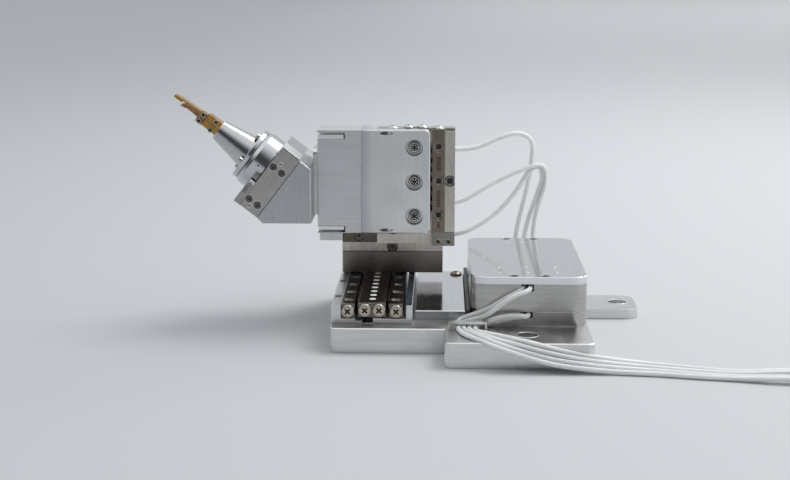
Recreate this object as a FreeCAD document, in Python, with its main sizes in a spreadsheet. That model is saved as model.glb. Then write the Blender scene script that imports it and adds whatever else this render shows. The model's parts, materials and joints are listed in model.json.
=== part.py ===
import FreeCAD, Part
import Sketcher
import math
import os

# Micromanipulator: three crossed-roller slides stacked on a base plate,
# a tilted rotary head with a two-jaw gripper, and a low electronics box.
# The origin is the axis of the front mounting hole at the underside.
# X runs right, Y runs back along the lowest slide, Z runs up.

os.makedirs("parts", exist_ok=True)
doc = FreeCAD.newDocument("micromanipulator")
sheet = doc.addObject("Spreadsheet::Sheet", "sizes")
Vector = FreeCAD.Vector

TABLE = (
    # base plate
    ("slab_right", 17.1), ("slab_front", -9.5), ("slab_back", 74.5), ("slab_top", 6.9),
    ("slab_step", -22.2), ("step_front", 5.55), ("slab_left", -53.2), ("slab_round", 2.0),
    ("ear_right", 35.5), ("ear_front", 47.9), ("ear_back", 67.5), ("ear_top", 2.83),
    ("ear_round", 4.0), ("mount_radius", 2.75), ("ear_hole_x", 30.2), ("ear_hole_y", 58.5),
    ("edge_break", 0.3), ("block_break", 0.2), ("fine_break", 0.12),
    ("foot_bore", 0.9), ("foot_head_radius", 1.3), ("foot_head_height", 1.4), ("foot_bore_radius", 1.45),
    ("foot_bore_depth", 1.8), ("foot_shank_end", 9.4), ("foot_screw_left", -13.6), ("foot_inset", 10.5),
    ("foot_screw_span_x", 28.8),
    # crossed-roller guides of the smallest size
    ("rail_width", 3.72), ("rail_gap", 1.03), ("rail_centre_width", 7.5), ("rail_height", 4.0),
    ("rail_lift", 0.3), ("groove_depth", 0.546), ("groove_height", 2.0), ("hole_pitch", 10.0),
    ("hole_margin", 5.0), ("rail_bore", 0.9), ("counterbore", 1.55), ("counterbore_depth", 1.4),
    ("centre_bore", 1.0), ("centre_bore_depth", 2.6), ("rail_long", 60.0), ("rail_short", 30.0),
    ("long_holes", 6), ("short_holes", 3), ("long_centre_holes", 11), ("short_centre_holes", 5),
    ("centre_pitch", 5.0), ("cage_thick", 0.3), ("cage_height", 3.0), ("roller_radius", 0.65),
    ("roller_length", 1.3), ("window_width", 1.42), ("window_height", 1.96), ("long_rollers", 12),
    ("short_rollers", 7), ("long_roller_pitch", 3.5), ("short_roller_pitch", 2.8), ("long_cage", 44.0),
    ("short_cage", 20.4), ("cap_radius", 1.4), ("cap_height", 1.2), ("shank_radius", 0.8),
    ("recess_arm", 0.8), ("recess_half", 0.22), ("recess_depth", 0.6), ("dome_radius", 1.75),
    ("dome_height", 0.9), ("dome_rim", 0.35), ("dome_top_radius", 0.95), ("end_shank_radius", 0.5),
    ("end_shank", 2.0),
    ("end_bore_radius", 0.55), ("end_bore_depth", 2.4), ("end_screw_side", 1.95),
    # lowest slide
    ("bed_left", -53.2), ("bed_wall_left", -50.5), ("bed_wall_right", -32.6), ("bed_right", -30.9),
    ("bed_end", 0.6), ("bed_wall_top", 12.1), ("bed_floor_top", 8.3),
    ("slot_floor", 7.1), ("slot_half", 2.7), ("y_rail_front", 11.7),
    ("drive_half", 1.8), ("drive_thick", 1.0), ("y_drive_inset", 1.3), ("y_drive_short", 4.0),
    ("scale_left", -32.4), ("scale_width", 1.3), ("scale_thick", 0.25), ("scale_front", 12.2),
    ("scale_tile", 17.2), ("scale_pitch", 17.6), ("scale_tiles", 3),
    ("preload_radius", 0.9), ("preload_length", 2.4), ("preload_bore", 1.0), ("preload_x", -51.85),
    ("preload_front", 22.4), ("preload_pitch", 20.2), ("preload_proud", 0.2), ("preload_arm", 0.5),
    # mirror plate beside the slide and the cable clamp
    ("side_left", -30.3), ("side_right", -16.3), ("side_front", 17.1), ("side_back", 71.2), ("side_top", 9.3),
    ("side_screw_x", -18.6), ("side_screw_y", 66.5),
    ("clamp_left", -21.04), ("clamp_right", -10.71), ("clamp_front", 4.0), ("clamp_back", 6.1),
    ("clamp_top", 9.3), ("channel_left", -19.3), ("channel_right", -11.3), ("channel_top", 8.65),
    ("clamp_screw_x", -20.2), ("small_head", 0.55), ("small_head_height", 0.4), ("small_shank", 0.35),
    ("clamp_screw_pitch", 9.1), ("clamp_screw_depth", 1.6), ("clamp_screw_count", 2),
    # electronics box
    ("box_left", -15.1), ("box_right", 16.7), ("box_front", 9.5), ("box_back", 68.5), ("box_split", 10.8),
    ("box_body_top", 18.55), ("box_top", 20.5), ("box_round", 4.5), ("box_floor", 7.9),
    ("base_wall", 3.0), ("body_wall", 1.5), ("base_inner_round", 1.6), ("body_inner_round", 3.0),
    ("board_gap", 0.2), ("board_top", 12.0), ("chip_top", 13.4), ("chip_left", -8.0), ("chip_front", 26.0),
    ("chip_long", 9.0), ("chip_wide", 9.0), ("header_left", -6.0), ("header_width", 12.0),
    ("header_front", 14.0),
    ("header_depth", 4.0), ("header_top", 14.4), ("header_inset", 10.5),
    ("lid_screw_left", -3.4), ("lid_screw_right", 5.05), ("lid_screw_first", 1.8), ("lid_screw_last", 1.6),
    ("lid_bore", 0.8), ("lid_counterbore", 1.4), ("lid_counterbore_depth", 0.9), ("post_half", 1.6),
    ("post_reach", 3.6), ("post_foot", 12.3), ("post_bore_depth", 4.0), ("lid_shank", 3.6),
    ("lid_shank_radius", 0.65),
    ("lid_head", 1.2), ("lid_head_height", 0.8), ("pin_radius", 0.4), ("pin_depth", 0.9),
    ("front_slot_left", -1.4), ("front_slot_right", 2.0), ("front_slot_low", 16.6),
    ("base_slot_left", -1.6), ("base_slot_right", 1.8), ("base_slot_low", 9.2), ("lid_edge_break", 0.2),
    # carriage that carries the cross slide
    ("carriage_left", -52.7), ("carriage_right", -22.7), ("carriage_front", 53.2), ("carriage_back", 70.0),
    ("carriage_low", 12.6), ("foot_top", 18.9), ("upright_front", 61.2), ("upright_back", 66.2),
    ("foot_bevel", 1.5),
    # cross slide
    ("channel_floor", 57.2), ("strip_width", 2.9), ("x_drive_start", 2.0), ("x_drive_length", 26.0),
    ("notch_radius", 1.65), ("notch_depth", 1.5), ("slot_deep", 1.2), ("drive_seat", 1.1),
    # upright slide
    ("z_left", -42.05), ("z_right", -19.25), ("z_floor_front", 48.1), ("z_front", 44.1), ("z_back", 52.9),
    ("z_low", 22.3), ("z_strip_low", 26.6), ("z_top", 56.6), ("z_strip_top", 56.1), ("z_drive_start", 2.0),
    ("stop_left", -26.0), ("stop_front", 44.3), ("stop_top", 26.5), ("stop_low", 22.4),
    ("stop_screw_left", -24.1),
    ("stop_screw_pitch", 3.0), ("stop_screw_height", 23.6), ("stop_screw_count", 2),
    ("stop_screw_depth", 2.0),
    # head carriage
    ("rest_lift", 0.3), ("plate_right", -26.5), ("plate_joint", -46.4), ("plate_front", 39.5),
    ("plate_round", 1.5),
    ("leg_width", 3.2), ("leg_back", 52.7), ("plate_screw_x", -31.0), ("plate_counterbore", 2.45),
    ("plate_counterbore_depth", 1.7), ("plate_bore", 0.95), ("plate_head", 1.7), ("plate_head_height", 1.1),
    ("plate_shank", 0.85), ("hex_radius", 0.8), ("hex_depth", 0.7),
    ("lens_x", -39.05), ("lens_half", 2.05), ("lens_height", 1.0), ("lens_depth", 0.5), ("lens_edge", 0.45),
    ("block_left", -58.9), ("block_slot_right", -51.0), ("block_slot_low", 2.7), ("block_slot_high", 0.85),
    ("low_slot_high", 2.0), ("low_slot_low", 0.25), ("bar_thick", 1.3), ("low_bar_thick", 1.0),
    ("bar_inset", 0.3), ("lip_left", -58.3), ("lip_right", -51.7), ("lip_low", 24.8),
    ("adapter_left", -60.2), ("adapter_front", 40.0), ("adapter_back", 52.2), ("adapter_low", 32.3),
    ("adapter_top", 51.3), ("adapter_notch_half", 3.0), ("adapter_notch", 1.0),
    # tilted head
    ("head_tilt", 37.5), ("head_x", -68.9), ("head_y", 46.1), ("head_z", 41.5),
    ("house_low", -11.2), ("house_high", 9.3), ("house_half", 14.2), ("house_thick", 6.2),
    ("wedge_floor", 30.95),
    ("wedge_toe", -74.1), ("hub_bore", 5.06), ("hub_floor", 1.6), ("cover_high", -4.4), ("cover_top", 8.15),
    ("cover_recess", 9.1), ("house_screw_high", 3.36), ("house_screw_low", -8.16), ("house_screw_up", 4.94),
    ("house_screw_down", 1.98), ("house_head", 1.0), ("house_head_deep", 0.8), ("house_bore", 1.1),
    ("house_bore_deep", 0.9), ("house_shank", 0.6), ("house_shank_deep", 4.0), ("house_thread", 0.65),
    ("house_pin_high", 5.21),
    ("house_pin_low", -9.7), ("house_pin_height", 3.6), ("house_pin_radius", 0.5), ("cover_screw_side", 11.6),
    ("cover_screw_x", -7.8), ("cover_bore", 1.1), ("cover_bore_deep", 0.9), ("cover_head", 1.0),
    ("cover_head_deep", 0.8),
    ("hub_radius", 5.0), ("hub_low", 2.0), ("ring_low", 6.5), ("ring_radius", 8.7), ("ring_shoulder", 10.6),
    ("ring_top_radius", 7.9), ("ring_top", 11.9), ("flange_radius", 8.15), ("flange_top", 13.2),
    ("cone_radius", 5.15), ("cone_top_radius", 3.15), ("cone_top", 24.05), ("cone_bore", 1.4),
    ("flange_screw_circle", 6.1), ("flange_screw_turn", -22.0), ("flange_head", 0.8),
    ("flange_head_height", 1.0),
    ("flange_shank", 0.5), ("flange_bore", 0.55), ("flange_screws", 4),
    # gripper
    ("grip_low", 24.05), ("grip_top", 28.9), ("grip_half_low", 2.35), ("grip_half_top", 2.25),
    ("grip_lower_low", -1.85), ("grip_lower_top", -1.7), ("grip_deep", 1.9), ("grip_slit_left", 0.02),
    ("grip_slit_right", 0.32), ("grip_slit_floor", 24.6), ("ear_high", 31.0), ("ear_side_left", -1.7),
    ("ear_side_right", 1.6), ("ear_plane", -0.1), ("pivot_upper_x", 1.04), ("pivot_lower_x", -1.17),
    ("pivot_height", 30.1), ("pivot_radius", 0.4), ("pivot_bore", 0.46), ("grip_head", 0.72),
    ("grip_head_height", 0.5), ("grip_screw_height", 25.95), ("grip_screw_upper", 1.58),
    ("grip_screw_lower", -1.35), ("grip_screw_shank", 0.35), ("grip_screw_deep", 1.6), ("jaw_front", -1.9),
    ("jaw_back", -0.35), ("jaw_seat", 29.05), ("jaw_arm_start", 31.3), ("arm_half", 1.6),
    ("upper_root_left", 0.3), ("upper_root_right", 1.85), ("upper_slit_low", 0.7), ("upper_edge_low", 1.35),
    ("upper_slit_high", 0.55), ("upper_edge_high", 1.12), ("upper_step", 36.9), ("upper_tip_left", -0.05),
    ("upper_tip_step", 37.3), ("upper_tip", 40.05), ("upper_tip_right", 0.75),
    ("lower_root_left", -1.9), ("lower_root_right", 0.1), ("lower_arm_left", -0.65),
    ("lower_arm_right", 0.57),
    ("lower_waist", 34.7), ("lower_waist_left", -0.5), ("lower_waist_right", 0.46), ("lower_hook", 36.2),
    ("lower_hook_left", -0.85), ("lower_hook_right", 0.42), ("lower_tip", 37.0), ("lower_tip_left", -0.92),
    ("lower_tip_right", -0.35), ("tip_radius", 0.3),
    # leads
    ("loop_radius", 0.65), ("lead_radius", 0.675), ("plug_length", 9.0), ("plug_width", 4.8),
    ("plug_height", 3.2),
    ("plug_start", 68.0), ("plug_one", -15.4), ("plug_two", -21.4), ("plug_bore", 0.8),
    ("plug_bore_deep", 2.0),
    ("lead_spread", 0.85), ("plug_lead_height", 1.6),
)

# Shares of a circle and of a length.
HALF_SHARE = 0.5
HEX_SHARE = 0.866
CORD_SHARE = 0.45


class Term:
    """A length with the text that the drawing expressions use and its value in mm."""

    def __init__(self, text, value):
        self.text = text
        self.value = value

    def _join(self, sign, other, value):
        return Term("(" + self.text + " " + sign + " " + term(other).text + ")", value)

    def __add__(self, other):
        return self._join("+", other, self.value + term(other).value)

    def __sub__(self, other):
        return self._join("-", other, self.value - term(other).value)

    def __mul__(self, other):
        return self._join("*", other, self.value * term(other).value)

    def __truediv__(self, other):
        return self._join("/", other, self.value / term(other).value)

    def __radd__(self, other):
        return term(other) + self

    def __rsub__(self, other):
        return term(other) - self

    def __rmul__(self, other):
        return term(other) * self

    def __neg__(self):
        return term(0) - self


def term(value):
    """Give a plain number the same form as a named size."""
    if isinstance(value, Term):
        return value
    return Term(repr(float(value)), float(value))


class Sizes:
    """The named sizes of the spreadsheet, each read as an attribute."""

    def __init__(self, table):
        self.values = {}
        for line, (name, value) in enumerate(table, start=1):
            cell = "B" + str(line)
            sheet.set("A" + str(line), name)
            sheet.set(cell, str(value))
            sheet.setAlias(cell, name)
            self.values[name] = value

    def __getattr__(self, name):
        return Term("sizes." + name, float(self.values[name]))


s = Sizes(TABLE)
doc.recompute()
SIN = Term("sin(sizes.head_tilt * 1 deg)", math.sin(math.radians(s.head_tilt.value)))
COS = Term("cos(sizes.head_tilt * 1 deg)", math.cos(math.radians(s.head_tilt.value)))
ZERO = term(0)
NODES = []

# Drawing helpers.


def origin_part(body, role):
    """Return one of the body's own origin planes or axes."""
    for feature in body.Origin.OriginFeatures:
        if feature.Role == role:
            return feature
    raise ValueError(role)


def new_body(label):
    """Start a body whose label is the name of the piece."""
    body = doc.addObject("PartDesign::Body", label)
    body.Label = label
    NODES.append(body)
    return body


def tilt(body):
    """Stand a body on the tilted face of the head."""
    turn = FreeCAD.Rotation(Vector(0, -1, 0), 90 - s.head_tilt.value)
    body.Placement = FreeCAD.Placement(Vector(s.head_x.value, s.head_y.value, s.head_z.value), turn)
    body.setExpression("Placement.Base.x", s.head_x.text)
    body.setExpression("Placement.Base.y", s.head_y.text)
    body.setExpression("Placement.Base.z", s.head_z.text)
    body.setExpression("Placement.Rotation.Angle", "(90 - sizes.head_tilt) * 1 deg")
    return body


def bind(sketch, kind, geometry, corner, value):
    """Tie one drawn point or radius to a named size."""
    value = term(value)
    if kind == "Radius":
        number = sketch.addConstraint(Sketcher.Constraint(kind, geometry, value.value))
    else:
        number = sketch.addConstraint(Sketcher.Constraint(kind, -1, 1, geometry, corner, value.value))
    sketch.setExpression("Constraints[" + str(number) + "]", value.text)


def add_outline(sketch, outline):
    """Draw a closed outline of straight lines through the given corners."""
    corners = [(term(u), term(v)) for u, v in outline]
    first = sketch.GeometryCount
    count = len(corners)
    for index in range(count):
        start = corners[index]
        end = corners[(index + 1) % count]
        line = Part.LineSegment(Vector(start[0].value, start[1].value, 0),
                                Vector(end[0].value, end[1].value, 0))
        sketch.addGeometry(line, False)
    for index in range(count):
        following = first + (index + 1) % count
        sketch.addConstraint(Sketcher.Constraint("Coincident", first + index, 2, following, 1))
    for index, (u, v) in enumerate(corners):
        bind(sketch, "DistanceX", first + index, 1, u)
        bind(sketch, "DistanceY", first + index, 1, v)


def add_circle(sketch, circle):
    """Draw a circle from its centre and radius."""
    u, v, radius = (term(value) for value in circle)
    index = sketch.addGeometry(Part.Circle(Vector(u.value, v.value, 0), Vector(0, 0, 1), radius.value), False)
    bind(sketch, "DistanceX", index, 3, u)
    bind(sketch, "DistanceY", index, 3, v)
    bind(sketch, "Radius", index, 0, radius)


def draw(body, plane, at, outlines=(), circles=()):
    """Put a sketch on an origin plane of the body, moved along the plane to the place given."""
    sketch = body.newObject("Sketcher::SketchObject", body.Label + "_sketch")
    sketch.AttachmentSupport = [(origin_part(body, plane + "_Plane"), "")]
    sketch.MapMode = "FlatFace"
    at = term(at)
    if plane == "XZ":
        at = -at
    sketch.setExpression("AttachmentOffset.Base.z", at.text)
    for outline in outlines:
        add_outline(sketch, outline)
    for circle in circles:
        add_circle(sketch, circle)
    return sketch


def pad(body, plane, low, high, outlines=(), circles=()):
    """Add material between two levels of an axis."""
    low, high = term(low), term(high)
    sketch = draw(body, plane, high if plane == "XZ" else low, outlines, circles)
    feature = body.newObject("PartDesign::Pad", body.Label + "_pad")
    feature.Profile = sketch
    feature.setExpression("Length", (high - low).text)
    body.Tip = feature
    return feature


def pocket(body, plane, low, high, outlines=(), circles=()):
    """Take material away between two levels of an axis."""
    low, high = term(low), term(high)
    sketch = draw(body, plane, low if plane == "XZ" else high, outlines, circles)
    feature = body.newObject("PartDesign::Pocket", body.Label + "_pocket")
    feature.Profile = sketch
    feature.Type = 0
    feature.setExpression("Length", (high - low).text)
    body.Tip = feature
    return feature


def turned(body, plane, at, axis, level, profile, cut=False):
    """Turn a profile of radii and heights about a line that runs along one sketch direction."""
    level = term(level)
    points = []
    for radius, height in profile:
        radius, height = term(radius), term(height)
        points.append((level + radius, height) if axis == "V" else (height, level + radius))
    sketch = draw(body, plane, at, [points])
    heights = [term(height).value for radius, height in profile]
    low, high = min(heights) - 1, max(heights) + 1
    ends = ((level.value, low), (level.value, high)) if axis == "V" else ((low, level.value),
                                                                          (high, level.value))
    line = Part.LineSegment(Vector(ends[0][0], ends[0][1], 0), Vector(ends[1][0], ends[1][1], 0))
    index = sketch.addGeometry(line, True)
    kind = "DistanceX" if axis == "V" else "DistanceY"
    bind(sketch, kind, index, 1, level)
    bind(sketch, kind, index, 2, level)
    feature = body.newObject("PartDesign::Groove" if cut else "PartDesign::Revolution",
                             body.Label + "_turned")
    feature.Profile = sketch
    feature.ReferenceAxis = (sketch, ["Axis0"])
    feature.Angle = 360
    body.Tip = feature
    return feature


def repeat(body, features, axis, length, count, backwards=False):
    """Repeat features at an even pitch along an axis of the body."""
    feature = body.newObject("PartDesign::LinearPattern", body.Label + "_row")
    feature.Originals = list(features)
    feature.Direction = (origin_part(body, axis + "_Axis"), [""])
    feature.Reversed = backwards
    feature.setExpression("Length", term(length).text)
    feature.setExpression("Occurrences", term(count).text)
    body.Tip = feature
    return feature


def edges_along(feature, axis, places):
    """Name the straight edges parallel to an axis that stand at the given places."""
    doc.recompute()
    names = []
    others = [index for index in range(3) if index != axis]
    for number, edge in enumerate(feature.Shape.Edges, start=1):
        if len(edge.Vertexes) != 2:
            continue
        one, two = (vertex.Point for vertex in edge.Vertexes)
        if max(abs(one[index] - two[index]) for index in others) > 1e-4:
            continue
        for place in places:
            values = [term(value).value for value in place]
            if max(abs(one[index] - value) for index, value in zip(others, values)) < 0.01:
                names.append("Edge" + str(number))
                break
    return names


def rim_edges(feature, axis, level, skip_circles=True):
    """Name the edges that lie in one level of an axis."""
    doc.recompute()
    names = []
    for number, edge in enumerate(feature.Shape.Edges, start=1):
        box = edge.BoundBox
        low = (box.XMin, box.YMin, box.ZMin)[axis]
        high = (box.XMax, box.YMax, box.ZMax)[axis]
        if abs(low - term(level).value) > 1e-3 or abs(high - term(level).value) > 1e-3:
            continue
        if skip_circles and len(edge.Vertexes) < 2:
            continue
        names.append("Edge" + str(number))
    return names


def dress(body, kind, feature, names, size):
    """Round or bevel the named edges."""
    result = body.newObject("PartDesign::" + kind, body.Label + "_" + kind.lower())
    result.Base = (feature, names)
    result.setExpression("Radius" if kind == "Fillet" else "Size", term(size).text)
    body.Tip = result
    return result


def rectangle(left, right, low, high):
    """Return the four corners of a rectangle."""
    return [(left, low), (right, low), (right, high), (left, high)]


def hexagon(u, v, radius):
    """Return the corners of a hexagon socket."""
    u, v, radius = term(u), term(v), term(radius)
    tall = radius * HEX_SHARE
    wide = radius * HALF_SHARE
    return [
        (u + radius, v), (u + wide, v + tall), (u - wide, v + tall),
        (u - radius, v), (u - wide, v - tall), (u + wide, v - tall),
    ]


def cross(u, v, arm, half):
    """Return the corners of a cross recess."""
    u, v, arm, half = term(u), term(v), term(arm), term(half)
    return [
        (u + arm, v - half), (u + arm, v + half), (u + half, v + half), (u + half, v + arm),
        (u - half, v + arm), (u - half, v + half), (u - arm, v + half), (u - arm, v - half),
        (u - half, v - half), (u - half, v - arm), (u + half, v - arm), (u + half, v - half),
    ]


# Guide parts. A rail is drawn across its length, then padded along it.


def rail(label, plane, start, length, seat, lift, side, width, grooves, holes, pitch, margin):
    """Make a rail with V grooves, screw holes and threaded ends.

    The seat is the level of the rail's back, side is its left or low edge,
    grooves tells on which edges the V grooves lie, and holes is its count of screw holes.
    """
    body = new_body(label)
    up = plane == "XZ"
    back = seat + s.rail_lift if lift else term(seat)
    sign = 1 if up else -1
    if not up:
        back = seat - s.rail_lift if lift else term(seat)
    front = back + s.rail_height * sign
    middle = seat + s.groove_height * sign
    high = side + width
    deep = s.groove_depth
    right_edge = [(high, middle - deep * sign), (high - deep, middle), (high, middle + deep * sign)]
    left_edge = [(side, middle + deep * sign), (side + deep, middle), (side, middle - deep * sign)]
    outline = [(side, back), (high, back)]
    outline += right_edge if "high" in grooves else []
    outline += [(high, front), (side, front)]
    outline += left_edge if "low" in grooves else []
    axis = {"XZ": "Y", "XY": "Z", "YZ": "X"}[plane]
    long_edges = [(side, front), (high, front)]
    if plane == "YZ":
        outline = [(v, u) for u, v in outline]
        long_edges = [(v, u) for u, v in long_edges]
    solid = pad(body, plane, start, start + length, [outline])
    run = {"XZ": 1, "XY": 2, "YZ": 0}[plane]
    dress(body, "Chamfer", solid, edges_along(solid, run, long_edges), s.fine_break)
    centre = side + width * HALF_SHARE
    first = start + margin
    drill_plane = "XY" if up else "XZ"
    place = (first, centre) if plane == "YZ" else (centre, first)
    spans = (back, front) if up else (front, back)
    features = []
    if "high" in grooves and "low" in grooves:
        span = (front - s.centre_bore_depth, front) if up else (front, front + s.centre_bore_depth)
        features.append(pocket(body, drill_plane, span[0], span[1], circles=[(*place, s.centre_bore)]))
    else:
        features.append(pocket(body, drill_plane, spans[0], spans[1], circles=[(*place, s.rail_bore)]))
        span = (front - s.counterbore_depth, front) if up else (front, front + s.counterbore_depth)
        features.append(pocket(body, drill_plane, span[0], span[1], circles=[(*place, s.counterbore)]))
    repeat(body, features, axis, pitch * (holes - 1), holes)
    offsets = [-s.end_screw_side, s.end_screw_side] if "high" in grooves and "low" in grooves else [ZERO]
    level = back + s.rail_height * HALF_SHARE * sign
    circles = [(level, centre + offset) if plane == "YZ" else (centre + offset, level) for offset in offsets]
    circles = [(*circle, s.end_bore_radius) for circle in circles]
    pocket(body, plane, start, start + s.end_bore_depth, circles=circles)
    pocket(body, plane, start + length - s.end_bore_depth, start + length, circles=circles)
    return body


def cage_strip(body, plane, middle, start, length, seat, count, pitch):
    """Add one roller cage: a thin strip with a window and a crossed roller at every place."""
    up = plane == "XZ"
    sign = 1 if up else -1
    centre = seat + s.groove_height * sign
    low = middle - s.cage_thick * HALF_SHARE
    across = "YZ" if plane in ("XZ", "XY") else "XY"
    first = start + (length - pitch * (count - 1)) * HALF_SHARE
    tall = s.cage_height * HALF_SHARE
    wide = s.window_width * HALF_SHARE
    high = s.window_height * HALF_SHARE
    axis = {"XZ": "Y", "XY": "Z", "YZ": "X"}[plane]
    if plane == "XY":
        strip = rectangle(centre - tall, centre + tall, start, start + length)
        window = rectangle(centre - high, centre + high, first - wide, first + wide)
    elif plane == "XZ":
        strip = rectangle(start, start + length, centre - tall, centre + tall)
        window = rectangle(first - wide, first + wide, centre - high, centre + high)
    else:
        strip = rectangle(start, start + length, centre - tall, centre + tall)
        window = rectangle(first - wide, first + wide, centre - high, centre + high)
    pad(body, across, low, low + s.cage_thick, [strip])
    opening = pocket(body, across, low, low + s.cage_thick, [window])
    repeat(body, [opening], axis, pitch * (count - 1), count)
    return first, centre


def cage(label, plane, centre_line, start, length, seat, count, pitch):
    """Make both cages of a double guide with their rollers."""
    offset = (s.rail_centre_width + s.rail_gap) * HALF_SHARE
    strips = []
    rollers = []
    for number, side in enumerate((-1, 1)):
        strip = doc.addObject("PartDesign::Body", label + "_strip")
        middle = centre_line + offset * side
        first, height = cage_strip(strip, plane, middle, start, length, seat, count, pitch)
        strips.append(strip)
        for index in range(int(count.value)):
            along = first + pitch * index
            roller = doc.addObject("Part::Cylinder", label + "_roller")
            roller.setExpression("Radius", s.roller_radius.text)
            roller.setExpression("Height", s.roller_length.text)
            lean = 45 if (index + number) % 2 else 135
            turn = math.radians(lean)
            step = s.roller_length * HALF_SHARE
            one, two = middle - step * math.cos(turn), height - step * math.sin(turn)
            if plane == "XZ":
                direction = Vector(math.cos(turn), 0, math.sin(turn))
                place = (one, along, two)
            elif plane == "XY":
                direction = Vector(math.cos(turn), math.sin(turn), 0)
                place = (one, two, along)
            else:
                direction = Vector(0, math.sin(turn), math.cos(turn))
                place = (along, two, one)
            roller.Placement = FreeCAD.Placement(Vector(0, 0, 0),
                                                 FreeCAD.Rotation(Vector(0, 0, 1), direction))
            for name, value in zip("xyz", place):
                roller.setExpression("Placement.Base." + name, term(value).text)
            rollers.append(roller)
    group = doc.addObject("Part::Compound", label)
    group.Label = label
    group.Links = strips + rollers
    NODES.append(group)
    return group


# Screws. Each is turned from a profile; heads point along the axis given.


def screw(body, head, plane, at, axis, level, seat, up, radius, height, shank, depth, recess=None, size=None):
    """Add a screw whose head sits on the seat level and whose shank goes the other way."""
    way = 1 if up else -1
    top = seat + height * way
    low = seat - depth * way
    if head == "dome":
        rim = seat + s.dome_rim * way
        profile = [(0, low), (shank, low), (shank, seat), (radius, seat), (radius, rim),
                   (s.dome_top_radius, top)]
        profile += [(0, top)]
    else:
        profile = [(0, low), (shank, low), (shank, seat), (radius, seat), (radius, top), (0, top)]
    features = [turned(body, plane, at, axis, level, profile)]
    if recess:
        cut_plane = {("XZ", "V"): "XY", ("XZ", "H"): "YZ", ("YZ", "H"): "XZ",
                     ("XY", "V"): "XZ"}[(plane, axis)]
        place = {("XZ", "V"): (level, at), ("XZ", "H"): (at, level), ("YZ", "H"): (at, level),
                 ("XY", "V"): (level, at)}
        u, v = place[(plane, axis)]
        arm, half, deep = size
        shape = cross(u, v, arm, half) if recess == "cross" else hexagon(u, v, arm)
        span = (top - deep, top) if up else (top, top + deep)
        features.append(pocket(body, cut_plane, span[0], span[1], [shape]))
    return features


def rail_screws(body, plane, at, axis, level, front, up):
    """Add a cap screw in the counterbore of a rail."""
    seat = front - s.counterbore_depth * (1 if up else -1)
    depth = s.rail_height - s.counterbore_depth
    size = (s.recess_arm, s.recess_half, s.recess_depth)
    return screw(body, "cap", plane, at, axis, level, seat, up, s.cap_radius, s.cap_height, s.shank_radius,
                 depth, "cross", size)


# Places that follow from the guide sizes.

y_left = s.bed_wall_left
y_centre = y_left + s.rail_width + s.rail_gap
y_right = y_centre + s.rail_centre_width + s.rail_gap
y_middle = y_centre + s.rail_centre_width * HALF_SHARE
y_rail_back = s.y_rail_front + s.rail_long
bed_front = s.y_rail_front - s.bed_end
bed_back = y_rail_back + s.bed_end
foot_screw_front = s.box_front + s.foot_inset
foot_screw_span_y = s.box_back - s.box_front - s.foot_inset * 2
lid_screw_front = s.box_front + s.lid_screw_first
lid_screw_back = s.box_back - s.lid_screw_last
x_low = s.foot_top + s.strip_width
x_centre = x_low + s.rail_width + s.rail_gap
x_high = x_centre + s.rail_centre_width + s.rail_gap
x_strip = x_high + s.rail_width
upright_top = x_strip + s.strip_width
x_middle = x_centre + s.rail_centre_width * HALF_SHARE
z_rail_left = s.z_left + s.strip_width
z_centre = z_rail_left + s.rail_width + s.rail_gap
z_rail_right = z_centre + s.rail_centre_width + s.rail_gap
z_middle = z_centre + s.rail_centre_width * HALF_SHARE
z_base = s.z_strip_low
table_low = z_base + s.rest_lift
table_top = table_low + s.rail_short
z_rail_end = z_base + s.rail_short
half_rail = s.rail_width * HALF_SHARE
carriage_middle = s.carriage_left + s.rail_short * HALF_SHARE

# Base plate with its ear, two mounting holes and four screw bores underneath.

base = new_body("base_plate")
slab = [
    (s.slab_step, s.slab_front), (s.slab_right, s.slab_front), (s.slab_right, s.slab_back),
    (s.slab_left, s.slab_back), (s.slab_left, s.step_front), (s.slab_step, s.step_front),
]
solid = pad(base, "XY", 0, s.slab_top, [slab])
corners = [slab[0], slab[1], slab[2], slab[3], slab[4]]
dress(base, "Fillet", solid, edges_along(solid, 2, corners), s.slab_round)
ear_inside = s.slab_right - s.ear_round
solid = pad(base, "XY", 0, s.ear_top, [rectangle(ear_inside, s.ear_right, s.ear_front, s.ear_back)])
ear_corners = [(s.ear_right, s.ear_front), (s.ear_right, s.ear_back)]
solid = dress(base, "Fillet", solid, edges_along(solid, 2, ear_corners), s.ear_round)
solid = dress(base, "Chamfer", solid, rim_edges(solid, 2, s.slab_top), s.edge_break)
pocket(base, "XY", 0, s.slab_top, circles=[(0, 0, s.mount_radius),
                                           (s.ear_hole_x, s.ear_hole_y, s.mount_radius)])
foot_columns = (s.foot_screw_left, s.foot_screw_left + s.foot_screw_span_x)
foot_rows = (foot_screw_front, foot_screw_front + foot_screw_span_y)
foot_places = [(x, y) for x in foot_columns for y in foot_rows]
pocket(base, "XY", 0, s.slab_top, circles=[(x, y, s.foot_bore) for x, y in foot_places])
pocket(base, "XY", 0, s.foot_bore_depth, circles=[(x, y, s.foot_bore_radius) for x, y in foot_places])

bottom = new_body("base_bottom_screws")
for x in foot_columns:
    seeds = screw(bottom, "cap", "XZ", foot_screw_front, "V", x, s.foot_bore_depth, False, s.foot_head_radius,
                  s.foot_head_height, s.shank_radius, s.foot_shank_end - s.foot_bore_depth, "hex",
                  (s.hex_radius, s.recess_half, s.hex_depth))
    repeat(bottom, seeds, "Y", foot_screw_span_y, 2)

# Lowest slide: bed with its walls and drive slot, rails, drive strip and scale.

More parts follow.
